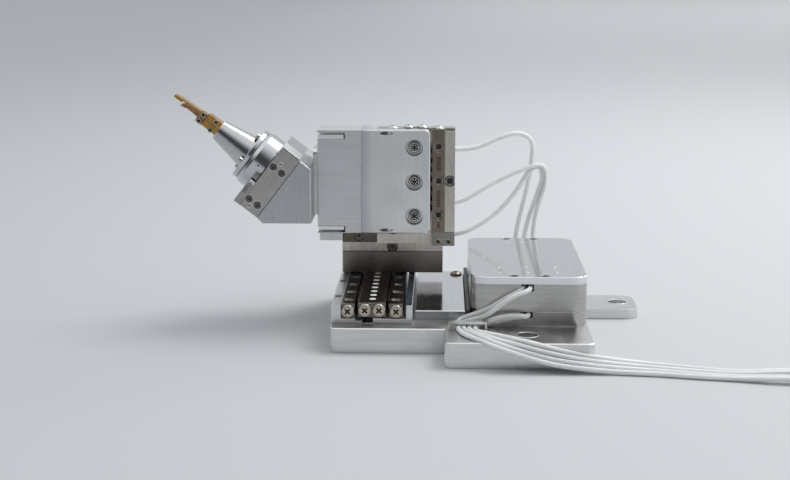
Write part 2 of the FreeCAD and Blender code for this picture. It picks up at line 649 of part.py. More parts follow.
bed = new_body("guide_bed")
slot_left = y_middle - s.slot_half
slot_right = y_middle + s.slot_half
profile = [
    (s.bed_left, s.slab_top), (s.bed_right, s.slab_top), (s.bed_right, s.bed_wall_top),
    (s.bed_wall_right, s.bed_wall_top), (s.bed_wall_right, s.bed_floor_top), (slot_right, s.bed_floor_top),
    (slot_right, s.slot_floor), (slot_left, s.slot_floor), (slot_left, s.bed_floor_top),
    (s.bed_wall_left, s.bed_floor_top), (s.bed_wall_left, s.bed_wall_top), (s.bed_left, s.bed_wall_top),
]
solid = pad(bed, "XZ", bed_front, bed_back, [profile])
outer_top = [(s.bed_left, s.bed_wall_top), (s.bed_right, s.bed_wall_top)]
dress(bed, "Chamfer", solid, edges_along(solid, 1, outer_top), s.lid_edge_break)
hole = pocket(bed, "XY", s.bed_wall_top - s.preload_length - s.edge_break, s.bed_wall_top,
              circles=[(s.preload_x, s.preload_front, s.preload_bore)])
repeat(bed, [hole], "Y", s.preload_pitch, 2)

rail("y_outer_rail_left", "XZ", s.y_rail_front, s.rail_long, s.bed_floor_top, False, y_left, s.rail_width,
     ("high",), s.long_holes, s.hole_pitch, s.hole_margin)
rail("y_outer_rail_right", "XZ", s.y_rail_front, s.rail_long, s.bed_floor_top, False, y_right, s.rail_width,
     ("low",), s.long_holes, s.hole_pitch, s.hole_margin)

screws = new_body("base_rail_screws")
first = s.y_rail_front + s.hole_margin
front = s.bed_floor_top + s.rail_height
seeds = []
for x in (y_left + half_rail, y_right + half_rail):
    seeds += rail_screws(screws, "XZ", first, "V", x, front, True)
repeat(screws, seeds, "Y", s.hole_pitch * (s.long_holes - 1), s.long_holes)
seat = s.bed_wall_top - s.preload_length
seeds = screw(screws, "cap", "XZ", s.preload_front, "V", s.preload_x, seat, True, s.preload_radius,
              s.preload_length + s.preload_proud, s.small_shank, s.edge_break, "cross",
              (s.preload_arm, s.recess_half, s.recess_depth))
repeat(screws, seeds, "Y", s.preload_pitch, 2)

ends = new_body("base_end_screws")
for x in (y_left + half_rail, y_right + half_rail):
    level = s.bed_floor_top + s.rail_height * HALF_SHARE
    for seat, up in ((s.y_rail_front, False), (y_rail_back, True)):
        screw(ends, "dome", "YZ", x, "H", level, seat, up, s.dome_radius, s.dome_height, s.end_shank_radius,
              s.end_shank, "cross", (s.recess_arm, s.recess_half, s.recess_half * 2))

tiles = new_body("encoder_scale")
tile = rectangle(s.scale_left, s.scale_left + s.scale_width, s.scale_front, s.scale_front + s.scale_tile)
seed = pad(tiles, "XY", s.bed_wall_top, s.bed_wall_top + s.scale_thick, [tile])
repeat(tiles, [seed], "Y", s.scale_pitch * (s.scale_tiles - 1), s.scale_tiles)

drive = new_body("y_drive")
y_drive_front = s.y_rail_front + s.y_drive_inset
y_drive_back = y_drive_front + s.rail_long - s.y_drive_short
strip = rectangle(y_middle - s.drive_half, y_middle + s.drive_half, y_drive_front, y_drive_back)
solid = pad(drive, "XY", s.slot_floor, s.slot_floor + s.drive_thick, [strip])
dress(drive, "Chamfer", solid, rim_edges(solid, 2, s.slot_floor + s.drive_thick), s.lid_edge_break)

# Mirror plate beside the slide and the bridge that holds the leads.

side = new_body("side_plate")
solid = pad(side, "XY", s.slab_top, s.side_top,
            [rectangle(s.side_left, s.side_right, s.side_front, s.side_back)])
dress(side, "Chamfer", solid, rim_edges(solid, 2, s.side_top), s.lid_edge_break)
pocket(side, "XY", s.slab_top, s.side_top, circles=[(s.side_screw_x, s.side_screw_y, s.end_bore_radius)])

clamp = new_body("cable_clamp")
bridge = [
    (s.clamp_left, s.slab_top), (s.channel_left, s.slab_top), (s.channel_left, s.channel_top),
    (s.channel_right, s.channel_top), (s.channel_right, s.slab_top), (s.clamp_right, s.slab_top),
    (s.clamp_right, s.clamp_top), (s.clamp_left, s.clamp_top),
]
solid = pad(clamp, "XZ", s.clamp_front, s.clamp_back, [bridge])
top_corners = [(s.clamp_left, s.clamp_top), (s.clamp_right, s.clamp_top)]
dress(clamp, "Chamfer", solid, edges_along(solid, 1, top_corners), s.lid_edge_break)
clamp_middle = (s.clamp_front + s.clamp_back) * HALF_SHARE
clamp_seat = s.clamp_top - s.small_head_height * HALF_SHARE
clamp_left_screw = s.clamp_screw_x
clamp_right_screw = clamp_left_screw + s.clamp_screw_pitch
holes = [(x, clamp_middle, s.small_head + s.small_shank * HALF_SHARE)
         for x in (clamp_left_screw, clamp_right_screw)]
pocket(clamp, "XY", clamp_seat, s.clamp_top, circles=holes)
holes = [(x, clamp_middle, s.small_shank + s.small_shank * HALF_SHARE)
         for x in (clamp_left_screw, clamp_right_screw)]
pocket(clamp, "XY", s.slab_top, clamp_seat, circles=holes)

# Electronics box: a tray, a frame and a polished lid round a circuit board.

tray = new_body("box_base")
outer = rectangle(s.box_left, s.box_right, s.box_front, s.box_back)
solid = pad(tray, "XY", s.slab_top, s.box_split, [outer])
dress(tray, "Fillet", solid, edges_along(solid, 2, outer), s.box_round)
inner = rectangle(s.box_left + s.base_wall, s.box_right - s.base_wall, s.box_front + s.base_wall,
                  s.box_back - s.base_wall)
solid = pocket(tray, "XY", s.box_floor, s.box_split, [inner])
dress(tray, "Fillet", solid, edges_along(solid, 2, inner), s.base_inner_round)
pocket(tray, "XY", s.base_slot_low, s.box_split,
       [rectangle(s.base_slot_left, s.base_slot_right, s.box_front - s.base_wall,
                  s.box_front + s.base_wall + s.board_gap)])
pocket(tray, "XY", s.slab_top, s.foot_shank_end + s.edge_break,
       circles=[(x, y, s.foot_bore) for x, y in foot_places])

frame = new_body("box_body")
solid = pad(frame, "XY", s.box_split, s.box_body_top, [outer])
solid = dress(frame, "Fillet", solid, edges_along(solid, 2, outer), s.box_round)
dress(frame, "Chamfer", solid, rim_edges(solid, 2, s.box_split), s.fine_break)
inner = rectangle(s.box_left + s.body_wall, s.box_right - s.body_wall, s.box_front + s.body_wall,
                  s.box_back - s.body_wall)
solid = pocket(frame, "XY", s.box_split, s.box_body_top, [inner])
dress(frame, "Fillet", solid, edges_along(solid, 2, inner), s.body_inner_round)
lid_columns = (s.lid_screw_left, s.lid_screw_right)
lid_places = [(x, y) for x in lid_columns for y in (lid_screw_front, lid_screw_back)]
posts = []
for x in lid_columns:
    low_y = s.box_front + s.body_wall * HALF_SHARE
    high_y = s.box_back - s.body_wall * HALF_SHARE
    posts.append(rectangle(x - s.post_half, x + s.post_half, low_y, s.box_front + s.post_reach))
    posts.append(rectangle(x - s.post_half, x + s.post_half, s.box_back - s.post_reach, high_y))
pad(frame, "XY", s.post_foot, s.box_body_top, posts)
pocket(frame, "XY", s.box_body_top - s.post_bore_depth, s.box_body_top,
       circles=[(x, y, s.lid_shank_radius + s.board_gap * HALF_SHARE) for x, y in lid_places])
pocket(frame, "XY", s.front_slot_low, s.box_body_top,
       [rectangle(s.front_slot_left, s.front_slot_right, s.box_front - s.body_wall,
                  s.box_front + s.body_wall + s.board_gap)])

lid = new_body("box_lid")
solid = pad(lid, "XY", s.box_body_top, s.box_top, [outer])
solid = dress(lid, "Fillet", solid, edges_along(solid, 2, outer), s.box_round)
dress(lid, "Chamfer", solid, rim_edges(solid, 2, s.box_top), s.lid_edge_break)
pocket(lid, "XY", s.box_body_top, s.box_top, circles=[(x, y, s.lid_bore) for x, y in lid_places])
pocket(lid, "XY", s.box_top - s.lid_counterbore_depth, s.box_top,
       circles=[(x, y, s.lid_counterbore) for x, y in lid_places])
LID_PINS = (
    (-2.6, 60.9), (1.3, 61.1), (-10.6, 38.5), (-7.0, 22.6), (-7.0, 15.7),
    (0.8, 23.5), (0.8, 16.0), (8.7, 23.4), (8.75, 15.6),
)
pocket(lid, "XY", s.box_top - s.pin_depth, s.box_top, circles=[(x, y, s.pin_radius) for x, y in LID_PINS])

board = new_body("circuit_board")
gap = s.body_wall + s.board_gap
edge = rectangle(s.box_left + gap, s.box_right - gap, s.box_front + gap, s.box_back - gap)
solid = pad(board, "XY", s.box_split, s.board_top, [edge])
dress(board, "Fillet", solid, edges_along(solid, 2, edge), s.body_inner_round)
header_right = s.header_left + s.header_width
chips = [
    rectangle(s.chip_left, s.chip_left + s.chip_wide, s.chip_front, s.chip_front + s.chip_long),
    rectangle(s.header_left, header_right, s.header_front, s.header_front + s.header_depth),
]
pad(board, "XY", s.board_top, s.chip_top, chips)
header_back = s.box_back - s.header_inset
rear = rectangle(s.header_left, header_right, header_back, header_back + s.header_depth)
pad(board, "XY", s.board_top, s.header_top, [rear])

small = new_body("cover_screws")
seat = s.box_top - s.lid_counterbore_depth
for x in lid_columns:
    seeds = screw(small, "cap", "XZ", lid_screw_front, "V", x, seat, True, s.lid_head, s.lid_head_height,
                  s.lid_shank_radius, s.lid_shank, "cross", (s.recess_arm, s.recess_half, s.recess_half * 2))
    repeat(small, seeds, "Y", lid_screw_back - lid_screw_front, 2)
seeds = screw(small, "cap", "XZ", clamp_middle, "V", clamp_left_screw, clamp_seat, True, s.small_head,
              s.small_head_height, s.small_shank, s.clamp_screw_depth)
repeat(small, seeds, "X", s.clamp_screw_pitch, s.clamp_screw_count)
screw(small, "dome", "XZ", s.side_screw_y, "V", s.side_screw_x, s.side_top, True, s.dome_radius,
      s.dome_height,
      s.end_shank_radius, s.end_shank, "cross", (s.recess_arm, s.recess_half, s.recess_half * 2))

# Carriage of the lowest slide and the cross slide that it carries.

rail("y_centre_rail", "XZ", s.y_rail_front, s.rail_long, s.bed_floor_top, True, y_centre, s.rail_centre_width,
     ("high", "low"), s.long_centre_holes, s.centre_pitch, s.hole_margin)
long_start = s.y_rail_front + (s.rail_long - s.long_cage) * HALF_SHARE
cage("y_cage", "XZ", y_middle, long_start, s.long_cage, s.bed_floor_top, s.long_rollers, s.long_roller_pitch)

bracket = new_body("carriage_bracket")
shape = [
    (s.carriage_front, s.carriage_low), (s.carriage_back, s.carriage_low),
    (s.carriage_back, s.foot_top - s.foot_bevel), (s.carriage_back - s.foot_bevel, s.foot_top),
    (s.upright_back, s.foot_top), (s.upright_back, upright_top), (s.upright_front, upright_top),
    (s.upright_front, s.foot_top), (s.carriage_front, s.foot_top),
]
solid = pad(bracket, "YZ", s.carriage_left, s.carriage_right, [shape])
solid = dress(bracket, "Fillet", solid, edges_along(solid, 0, [(s.upright_back, s.foot_top)]), s.foot_bevel)
edges = rim_edges(solid, 0, s.carriage_left) + rim_edges(solid, 0, s.carriage_right)
dress(bracket, "Chamfer", solid, edges, s.block_break)

channel = new_body("x_channel")
drive_low = x_middle - s.slot_half
drive_high = x_middle + s.slot_half
slot_back = s.channel_floor + s.slot_deep
shape = [
    (s.carriage_front, s.foot_top), (s.upright_front, s.foot_top), (s.upright_front, upright_top),
    (s.carriage_front, upright_top), (s.carriage_front, x_strip), (s.channel_floor, x_strip),
    (s.channel_floor, drive_high), (slot_back, drive_high), (slot_back, drive_low),
    (s.channel_floor, drive_low), (s.channel_floor, x_low), (s.carriage_front, x_low),
]
solid = pad(channel, "YZ", s.carriage_left, s.carriage_right, [shape])
front_edges = [(s.carriage_front, s.foot_top), (s.carriage_front, upright_top)]
dress(channel, "Chamfer", solid, edges_along(solid, 0, front_edges), s.lid_edge_break)
strip_low = s.foot_top + s.strip_width * HALF_SHARE
strip_high = x_strip + s.strip_width * HALF_SHARE
pocket(channel, "XZ", s.carriage_front, s.carriage_front + s.notch_depth,
       circles=[(carriage_middle, z, s.notch_radius) for z in (strip_low, strip_high)])
pocket(channel, "XZ", s.carriage_front, s.channel_floor,
       circles=[(carriage_middle, z, s.rail_bore) for z in (strip_low, strip_high)])

first_rail = rail("x_outer_rail_low", "YZ", s.carriage_left, s.rail_short, s.channel_floor, False, x_low,
                  s.rail_width,
                  ("high",), s.short_holes, s.hole_pitch, s.hole_margin)
second_rail = rail("x_outer_rail_high", "YZ", s.carriage_left, s.rail_short, s.channel_floor, False, x_high,
                   s.rail_width, ("low",), s.short_holes, s.hole_pitch, s.hole_margin)
pair = doc.addObject("Part::Compound", "x_outer_rails")
pair.Label = "x_outer_rails"
pair.Links = [first_rail, second_rail]
NODES.remove(first_rail)
NODES.remove(second_rail)
NODES.append(pair)

screws = new_body("carriage_rail_screws")
first = s.carriage_left + s.hole_margin
front = s.channel_floor - s.rail_height
seeds = []
for z in (x_low + half_rail, x_high + half_rail):
    seeds += rail_screws(screws, "YZ", first, "H", z, front, False)
repeat(screws, seeds, "X", s.hole_pitch * (s.short_holes - 1), s.short_holes)
seat = s.carriage_front + s.notch_depth
for z in (strip_low, strip_high):
    screw(screws, "cap", "YZ", carriage_middle, "H", z, seat, False, s.cap_radius, s.cap_height,
          s.shank_radius,
          s.channel_floor - seat, "cross", (s.recess_arm, s.recess_half, s.recess_depth))

ends = new_body("carriage_end_screws")
level = s.bed_floor_top + s.rail_lift + s.rail_height * HALF_SHARE
dome_cut = (s.recess_arm, s.recess_half, s.recess_half * 2)
for x in (y_middle - s.end_screw_side, y_middle + s.end_screw_side):
    for seat, up in ((s.y_rail_front, False), (y_rail_back, True)):
        screw(ends, "dome", "YZ", x, "H", level, seat, up, s.dome_radius, s.dome_height, s.end_shank_radius,
              s.end_shank, "cross", dome_cut)
level_y = s.channel_floor - s.rail_height * HALF_SHARE
for z in (x_low + half_rail, x_high + half_rail):
    for seat, up in ((s.carriage_left, False), (s.carriage_right, True)):
        screw(ends, "dome", "XZ", level_y, "H", z, seat, up, s.dome_radius, s.dome_height, s.end_shank_radius,
              s.end_shank, "cross", dome_cut)

drive = new_body("x_drive")
drive_left = s.carriage_left + s.x_drive_start
strip = rectangle(drive_left, drive_left + s.x_drive_length, x_middle - s.drive_half, x_middle + s.drive_half)
pad(drive, "XZ", slot_back - s.drive_seat, slot_back, [strip])

short_start = s.carriage_left + (s.rail_short - s.short_cage) * HALF_SHARE
cage("x_cage", "YZ", x_middle, short_start, s.short_cage, s.channel_floor, s.short_rollers,
     s.short_roller_pitch)

# Cross table: it carries the upright slide.

rail("x_centre_rail", "YZ", s.carriage_left, s.rail_short, s.channel_floor, True, x_centre,
     s.rail_centre_width,
     ("high", "low"), s.short_centre_holes, s.centre_pitch, s.hole_margin)

channel = new_body("z_channel")
solid = pad(channel, "XZ", s.z_floor_front, s.z_back, [rectangle(s.z_left, s.z_right, s.z_low, s.z_top)])
walls = [
    rectangle(s.z_left, z_rail_left, s.z_strip_low, s.z_strip_top),
    rectangle(s.z_right - s.strip_width, s.z_right, s.z_strip_low, s.z_strip_top),
]
pad(channel, "XZ", s.z_front, s.z_floor_front + s.edge_break, walls)
slot = rectangle(z_middle - s.slot_half, z_middle + s.slot_half, s.z_strip_low, s.z_top)
pocket(channel, "XZ", s.z_floor_front, s.z_floor_front + s.slot_deep, [slot])
strip_left = s.z_left + s.strip_width * HALF_SHARE
strip_right = s.z_right - s.strip_width * HALF_SHARE
notch_level = z_base + s.rail_short * HALF_SHARE
pocket(channel, "XZ", s.z_front, s.z_front + s.notch_depth,
       circles=[(x, notch_level, s.notch_radius) for x in (strip_left, strip_right)])
pocket(channel, "XZ", s.z_front, s.z_floor_front,
       circles=[(x, notch_level, s.rail_bore) for x in (strip_left, strip_right)])

rail("z_outer_rail_left", "XY", z_base, s.rail_short, s.z_floor_front, False, z_rail_left, s.rail_width,
     ("high",), s.short_holes, s.hole_pitch, s.hole_margin)
rail("z_outer_rail_right", "XY", z_base, s.rail_short, s.z_floor_front, False, z_rail_right, s.rail_width,
     ("low",), s.short_holes, s.hole_pitch, s.hole_margin)

stop = new_body("z_stop_block")
pad(stop, "XZ", s.stop_front, s.z_floor_front, [rectangle(s.stop_left, s.z_right, s.stop_low, s.stop_top)])
stop_second = s.stop_screw_left + s.stop_screw_pitch
holes = [(x, s.stop_screw_height, s.small_head + s.small_shank * HALF_SHARE)
         for x in (s.stop_screw_left, stop_second)]
pocket(stop, "XZ", s.stop_front, s.stop_front + s.small_head_height, circles=holes)
holes = [(x, s.stop_screw_height, s.small_shank + s.small_shank * HALF_SHARE)
         for x in (s.stop_screw_left, stop_second)]
pocket(stop, "XZ", s.stop_front, s.z_floor_front, circles=holes)

screws = new_body("table_rail_screws")
first = z_base + s.hole_margin
front = s.z_floor_front - s.rail_height
seeds = []
for x in (z_rail_left + half_rail, z_rail_right + half_rail):
    seeds += rail_screws(screws, "YZ", x, "H", first, front, False)
repeat(screws, seeds, "Z", s.hole_pitch * (s.short_holes - 1), s.short_holes)
seat = s.z_front + s.notch_depth
for x in (strip_left, strip_right):
    screw(screws, "cap", "YZ", x, "H", notch_level, seat, False, s.cap_radius, s.cap_height, s.shank_radius,
          s.z_floor_front - seat, "cross", (s.recess_arm, s.recess_half, s.recess_depth))
seeds = screw(screws, "cap", "YZ", s.stop_screw_left, "H", s.stop_screw_height,
              s.stop_front + s.small_head_height,
              False, s.small_head, s.small_head_height, s.small_shank, s.stop_screw_depth)
repeat(screws, seeds, "X", s.stop_screw_pitch, s.stop_screw_count)

ends = new_body("table_end_screws")
level = s.z_floor_front - s.rail_height * HALF_SHARE
z_ends = ((z_rail_left + half_rail, z_rail_end, True), (z_rail_right + half_rail, z_rail_end, True),
          (z_rail_left + half_rail, z_base, False))
for x, seat, up in z_ends:
    screw(ends, "dome", "XZ", level, "V", x, seat, up, s.dome_radius, s.dome_height, s.end_shank_radius,
          s.end_shank, "cross", dome_cut)
level = s.channel_floor - s.rail_lift - s.rail_height * HALF_SHARE
for z in (x_middle - s.end_screw_side, x_middle + s.end_screw_side):
    for seat, up in ((s.carriage_left, False), (s.carriage_right, True)):
        screw(ends, "dome", "XZ", level, "H", z, seat, up, s.dome_radius, s.dome_height, s.end_shank_radius,
              s.end_shank, "cross", dome_cut)

drive = new_body("z_drive")
drive_low = z_base + s.z_drive_start
strip = rectangle(z_middle - s.drive_half, z_middle + s.drive_half, drive_low, drive_low + s.x_drive_length)
slot_back = s.z_floor_front + s.slot_deep
pad(drive, "XZ", slot_back - s.drive_seat, slot_back, [strip])

short_start = z_base + (s.rail_short - s.short_cage) * HALF_SHARE
cage("z_cage", "XY", z_middle, short_start, s.short_cage, s.z_floor_front, s.short_rollers,
     s.short_roller_pitch)

# Head carriage: centre rail, plate with a leg, side block with its clip bars.

rail("z_centre_rail", "XY", table_low, s.rail_short, s.z_floor_front, True, z_centre, s.rail_centre_width,
     ("high", "low"), s.short_centre_holes, s.centre_pitch, s.hole_margin)

plate = new_body("z_table_plate")
plate_back = s.z_front - s.rail_lift
outline = [
    (s.plate_joint, s.plate_front), (s.plate_right, s.plate_front), (s.plate_right, plate_back),
    (s.plate_joint + s.leg_width, plate_back), (s.plate_joint + s.leg_width, s.leg_back),
    (s.plate_joint, s.leg_back),
]
solid = pad(plate, "XY", table_low, table_top, [outline])
round_corners = [(s.plate_right, table_low), (s.plate_right, table_top)]
solid = dress(plate, "Fillet", solid, edges_along(solid, 1, round_corners), s.plate_round)
dress(plate, "Chamfer", solid, rim_edges(solid, 1, s.plate_front), s.block_break)
screw_low = table_low + s.hole_margin
hole = pocket(plate, "XZ", s.plate_front, plate_back, circles=[(s.plate_screw_x, screw_low, s.plate_bore)])
bore = pocket(plate, "XZ", s.plate_front, s.plate_front + s.plate_counterbore_depth,
              circles=[(s.plate_screw_x, screw_low, s.plate_counterbore)])
repeat(plate, [hole, bore], "Z", s.hole_pitch * (s.short_holes - 1), s.short_holes)


def lens(centre, level):
    """Return the corners of a lens-shaped recess."""
    half = s.lens_height * HALF_SHARE
    inner = s.lens_half * HALF_SHARE
    flat = half * HEX_SHARE
    return [
        (centre - s.lens_half, level), (centre - inner, level - flat), (centre, level - half),
        (centre + inner, level - flat), (centre + s.lens_half, level), (centre + inner, level + flat),
        (centre, level + half), (centre - inner, level + flat),
    ]


high_lens = table_top - s.lens_edge - s.lens_height * HALF_SHARE
low_lens = table_low + s.lens_edge + s.lens_height * HALF_SHARE
pocket(plate, "XZ", s.plate_front, s.plate_front + s.lens_depth,
       [lens(s.lens_x, high_lens), lens(s.lens_x, low_lens)])
shank_front = s.plate_front + s.plate_counterbore_depth

screws = new_body("table_plate_screws")
seeds = screw(screws, "cap", "YZ", s.plate_screw_x, "H", screw_low, shank_front, False, s.plate_head,
              s.plate_head_height, s.plate_shank, plate_back - shank_front, "hex",
              (s.hex_radius, s.recess_half, s.hex_depth))
repeat(screws, seeds, "Z", s.hole_pitch * (s.short_holes - 1), s.short_holes)

ends = new_body("head_end_screws")
level = s.z_floor_front - s.rail_lift - s.rail_height * HALF_SHARE
for x in (z_middle - s.end_screw_side, z_middle + s.end_screw_side):
    for seat, up in ((table_low, False), (table_top, True)):
        screw(ends, "dome", "XZ", level, "V", x, seat, up, s.dome_radius, s.dome_height, s.end_shank_radius,
              s.end_shank, "cross", dome_cut)

block = new_body("head_block")
top_slot_high = table_top - s.block_slot_high
top_slot_low = table_top - s.block_slot_low
low_slot_low = table_low + s.low_slot_low
low_slot_high = table_low + s.low_slot_high
outline = [
    (s.block_left, table_low), (s.plate_joint, table_low), (s.plate_joint, table_top),
    (s.block_left, table_top),
    (s.block_left, top_slot_high), (s.block_slot_right, top_slot_high), (s.block_slot_right, top_slot_low),
    (s.block_left, top_slot_low), (s.block_left, low_slot_high), (s.block_slot_right, low_slot_high),
    (s.block_slot_right, low_slot_low), (s.block_left, low_slot_low),
]
solid = pad(block, "XZ", s.plate_front, s.leg_back, [outline])
edges = rim_edges(solid, 1, s.plate_front) + rim_edges(solid, 1, s.leg_back)
dress(block, "Chamfer", solid, edges, s.fine_break)
lip = rectangle(s.lip_left, s.lip_right, s.lip_low, table_low)
pad(block, "XZ", s.plate_front, s.leg_back, [lip])

bars = new_body("clip_bars")
bar_left = s.block_left + s.lid_edge_break
bar_right = s.block_slot_right - s.bar_inset
pad(bars, "XZ", s.plate_front, s.leg_back, [
    rectangle(bar_left, bar_right, top_slot_low, top_slot_low + s.bar_thick),
    rectangle(bar_left, bar_right, low_slot_high - s.low_bar_thick, low_slot_high),
])

adapter = new_body("adapter_plate")
notch_middle = (s.adapter_front + s.adapter_back) * HALF_SHARE
outline = [
    (s.adapter_front, s.adapter_low), (notch_middle - s.adapter_notch_half, s.adapter_low),
    (notch_middle - s.adapter_notch_half, s.adapter_low + s.adapter_notch),
    (notch_middle + s.adapter_notch_half, s.adapter_low + s.adapter_notch),
    (notch_middle + s.adapter_notch_half, s.adapter_low), (s.adapter_back, s.adapter_low),
    (s.adapter_back, s.adapter_top), (s.adapter_front, s.adapter_top),
]
solid = pad(adapter, "YZ", s.adapter_left, s.block_left, [outline])
top_corners = [(s.adapter_front, s.adapter_top), (s.adapter_back, s.adapter_top)]
dress(adapter, "Fillet", solid, edges_along(solid, 0, top_corners), s.plate_round)

# Wedge that tilts the head. Its sloping face runs through the head's own frame.

wedge = new_body("wedge")
toe_x = s.head_x + s.house_low * SIN
toe_z = s.head_z + s.house_low * COS
peak_x = s.head_x + s.house_high * SIN
peak_z = s.head_z + s.house_high * COS
slope = (s.adapter_left - peak_x) / COS
outline = [
    (toe_x, toe_z), (s.wedge_toe, s.wedge_floor), (s.adapter_left, s.wedge_floor),
    (s.adapter_left, peak_z - slope * SIN), (peak_x, peak_z),
]
wedge_front = s.head_y - s.house_half
wedge_back = s.head_y + s.house_half
solid = pad(wedge, "XZ", wedge_front, wedge_back, [outline])
edges = rim_edges(solid, 1, wedge_front) + rim_edges(solid, 1, wedge_back)
dress(wedge, "Chamfer", solid, edges, s.block_break)

# Rotary head: housing, index cover with its arc, and the screws in its two ends.

house = tilt(new_body("rotary_housing"))
house_front = -s.house_half
square = rectangle(s.house_low, s.house_high, house_front, s.house_half)
solid = pad(house, "XY", 0, s.house_thick, [square])
house_corners = [(x, y) for x in (s.house_low, s.house_high) for y in (house_front, s.house_half)]
dress(house, "Chamfer", solid, edges_along(solid, 2, house_corners), s.block_break)
pocket(house, "XY", s.hub_floor, s.house_thick, circles=[(0, 0, s.hub_bore)])
house_rows = (s.house_screw_high, s.house_screw_low)
house_levels = (s.house_screw_up, s.house_screw_down)
house_places = [(x, z) for x in house_rows for z in house_levels]
pin_places = [(s.house_pin_high, s.house_pin_height), (s.house_pin_low, s.house_pin_height)]
for low, high in ((house_front, house_front + s.house_bore_deep),
                  (s.house_half - s.house_bore_deep, s.house_half)):
    pocket(house, "XZ", low, high, circles=[(x, z, s.house_bore) for x, z in house_places])
thread_deep = s.house_bore_deep + s.house_shank_deep
for low, high in ((house_front, house_front + thread_deep), (s.house_half - thread_deep, s.house_half)):
    pocket(house, "XZ", low, high, circles=[(x, z, s.house_thread) for x, z in house_places])
pocket(house, "XZ", house_front, house_front + s.house_bore_deep,
       circles=[(x, z, s.house_pin_radius) for x, z in pin_places])

cover = tilt(new_body("index_cover"))
plate_outline = rectangle(s.house_low, s.cover_high, house_front, s.house_half)
pad(cover, "XY", s.house_thick, s.cover_top, [plate_outline])
pocket(cover, "XY", s.house_thick, s.cover_top, circles=[(0, 0, s.cover_recess)])
cover_places = [(s.cover_screw_x, -s.cover_screw_side), (s.cover_screw_x, s.cover_screw_side)]
pocket(cover, "XY", s.cover_top - s.cover_bore_deep, s.cover_top,
       circles=[(x, y, s.cover_bore) for x, y in cover_places])
pocket(cover, "XY", s.house_thick, s.cover_top, circles=[(x, y, s.house_thread) for x, y in cover_places])

screws = tilt(new_body("housing_screws"))
head_cut = (s.recess_arm * HEX_SHARE, s.recess_half, s.recess_half * 2)
for x, z in house_places:
    screw(screws, "cap", "YZ", x, "H", z, house_front + s.house_bore_deep, False, s.house_head,
          s.house_head_deep,
          s.house_shank, s.house_shank_deep, "cross", head_cut)
    screw(screws, "cap", "YZ", x, "H", z, s.house_half - s.house_bore_deep, True, s.house_head,
          s.house_head_deep,
          s.house_shank, s.house_shank_deep, "cross", head_cut)
for x, y in cover_places:
    screw(screws, "cap", "XZ", y, "V", x, s.cover_top - s.cover_bore_deep, True, s.cover_head,
          s.cover_head_deep,
          s.house_shank, s.cover_top - s.cover_bore_deep - s.house_thick, "cross", head_cut)

# Rotor: ring with its hub, flange, nose cone, and the gripper block.

ring = tilt(new_body("rotor_ring"))
turned(ring, "XZ", 0, "V", 0, [
    (0, s.hub_low), (s.hub_radius, s.hub_low), (s.hub_radius, s.ring_low), (s.ring_radius, s.ring_low),
    (s.ring_radius, s.ring_shoulder), (s.ring_top_radius, s.ring_top), (0, s.ring_top),
])
angles = [s.flange_screw_turn.value + 360 * index / s.flange_screws.value
          for index in range(int(s.flange_screws.value))]
around = []
for index in range(int(s.flange_screws.value)):
    text = "((sizes.flange_screw_turn + 360 * " + str(index) + " / sizes.flange_screws) * 1 deg)"
    angle = math.radians(angles[index])
    around.append((s.flange_screw_circle * Term("cos" + text, math.cos(angle)),
                   s.flange_screw_circle * Term("sin" + text, math.sin(angle))))

flange = tilt(new_body("tool_flange"))
solid = pad(flange, "XY", s.ring_top, s.flange_top, circles=[(0, 0, s.flange_radius)])
dress(flange, "Chamfer", solid, rim_edges(solid, 2, s.flange_top, False), s.block_break)
pocket(flange, "XY", s.ring_top, s.flange_top, circles=[(x, y, s.flange_bore) for x, y in around])

cone = tilt(new_body("nose_cone"))
turned(cone, "XZ", 0, "V", 0, [
    (s.cone_bore, s.flange_top), (s.cone_radius, s.flange_top), (s.cone_top_radius, s.cone_top),
    (s.cone_bore, s.cone_top),
])

grip = tilt(new_body("gripper_body"))
grip_front = -s.grip_deep
solid = pad(grip, "XZ", grip_front, s.grip_deep, [[
    (s.grip_lower_low, s.grip_low), (s.grip_half_low, s.grip_low), (s.grip_half_top, s.grip_top),
    (s.grip_lower_top, s.grip_top),
]])
ear = rectangle(s.ear_side_left, s.ear_side_right, s.grip_top - s.edge_break, s.ear_high)
solid = pad(grip, "XZ", s.ear_plane, s.grip_deep, [ear])
slit = rectangle(s.grip_slit_left, s.grip_slit_right, s.grip_slit_floor, s.ear_high + s.edge_break)
pocket(grip, "XZ", grip_front, s.grip_deep, [slit])
pivots = [(s.pivot_upper_x, s.pivot_height), (s.pivot_lower_x, s.pivot_height)]
clamps = [(s.grip_screw_upper, s.grip_screw_height), (s.grip_screw_lower, s.grip_screw_height)]
pocket(grip, "XZ", s.ear_plane, s.grip_deep, circles=[(x, z, s.pivot_radius) for x, z in pivots])
pocket(grip, "XZ", grip_front, grip_front + s.grip_screw_deep,
       circles=[(x, z, s.grip_screw_shank) for x, z in clamps])

screws = tilt(new_body("tool_screws"))
for x, y in around:
    screw(screws, "cap", "XZ", y, "V", x, s.flange_top, True, s.flange_head, s.flange_head_height,
          s.flange_shank,
          s.flange_top - s.ring_top)
grip_cut = (s.recess_arm * HALF_SHARE, s.recess_half * HALF_SHARE, s.recess_half)
for x, z in pivots:
    screw(screws, "cap", "YZ", x, "H", z, s.jaw_front - s.tip_radius * HALF_SHARE, False, s.grip_head,
          s.grip_head_height, s.pivot_radius, s.grip_deep - s.jaw_front + s.tip_radius * HALF_SHARE,
          "cross", grip_cut)
for x, z in clamps:
    screw(screws, "cap", "YZ", x, "H", z, grip_front, False, s.grip_head, s.grip_head_height,
          s.grip_screw_shank,
          s.grip_screw_deep, "cross", grip_cut)

# Jaws: each turns on its own screw and is drawn closed.

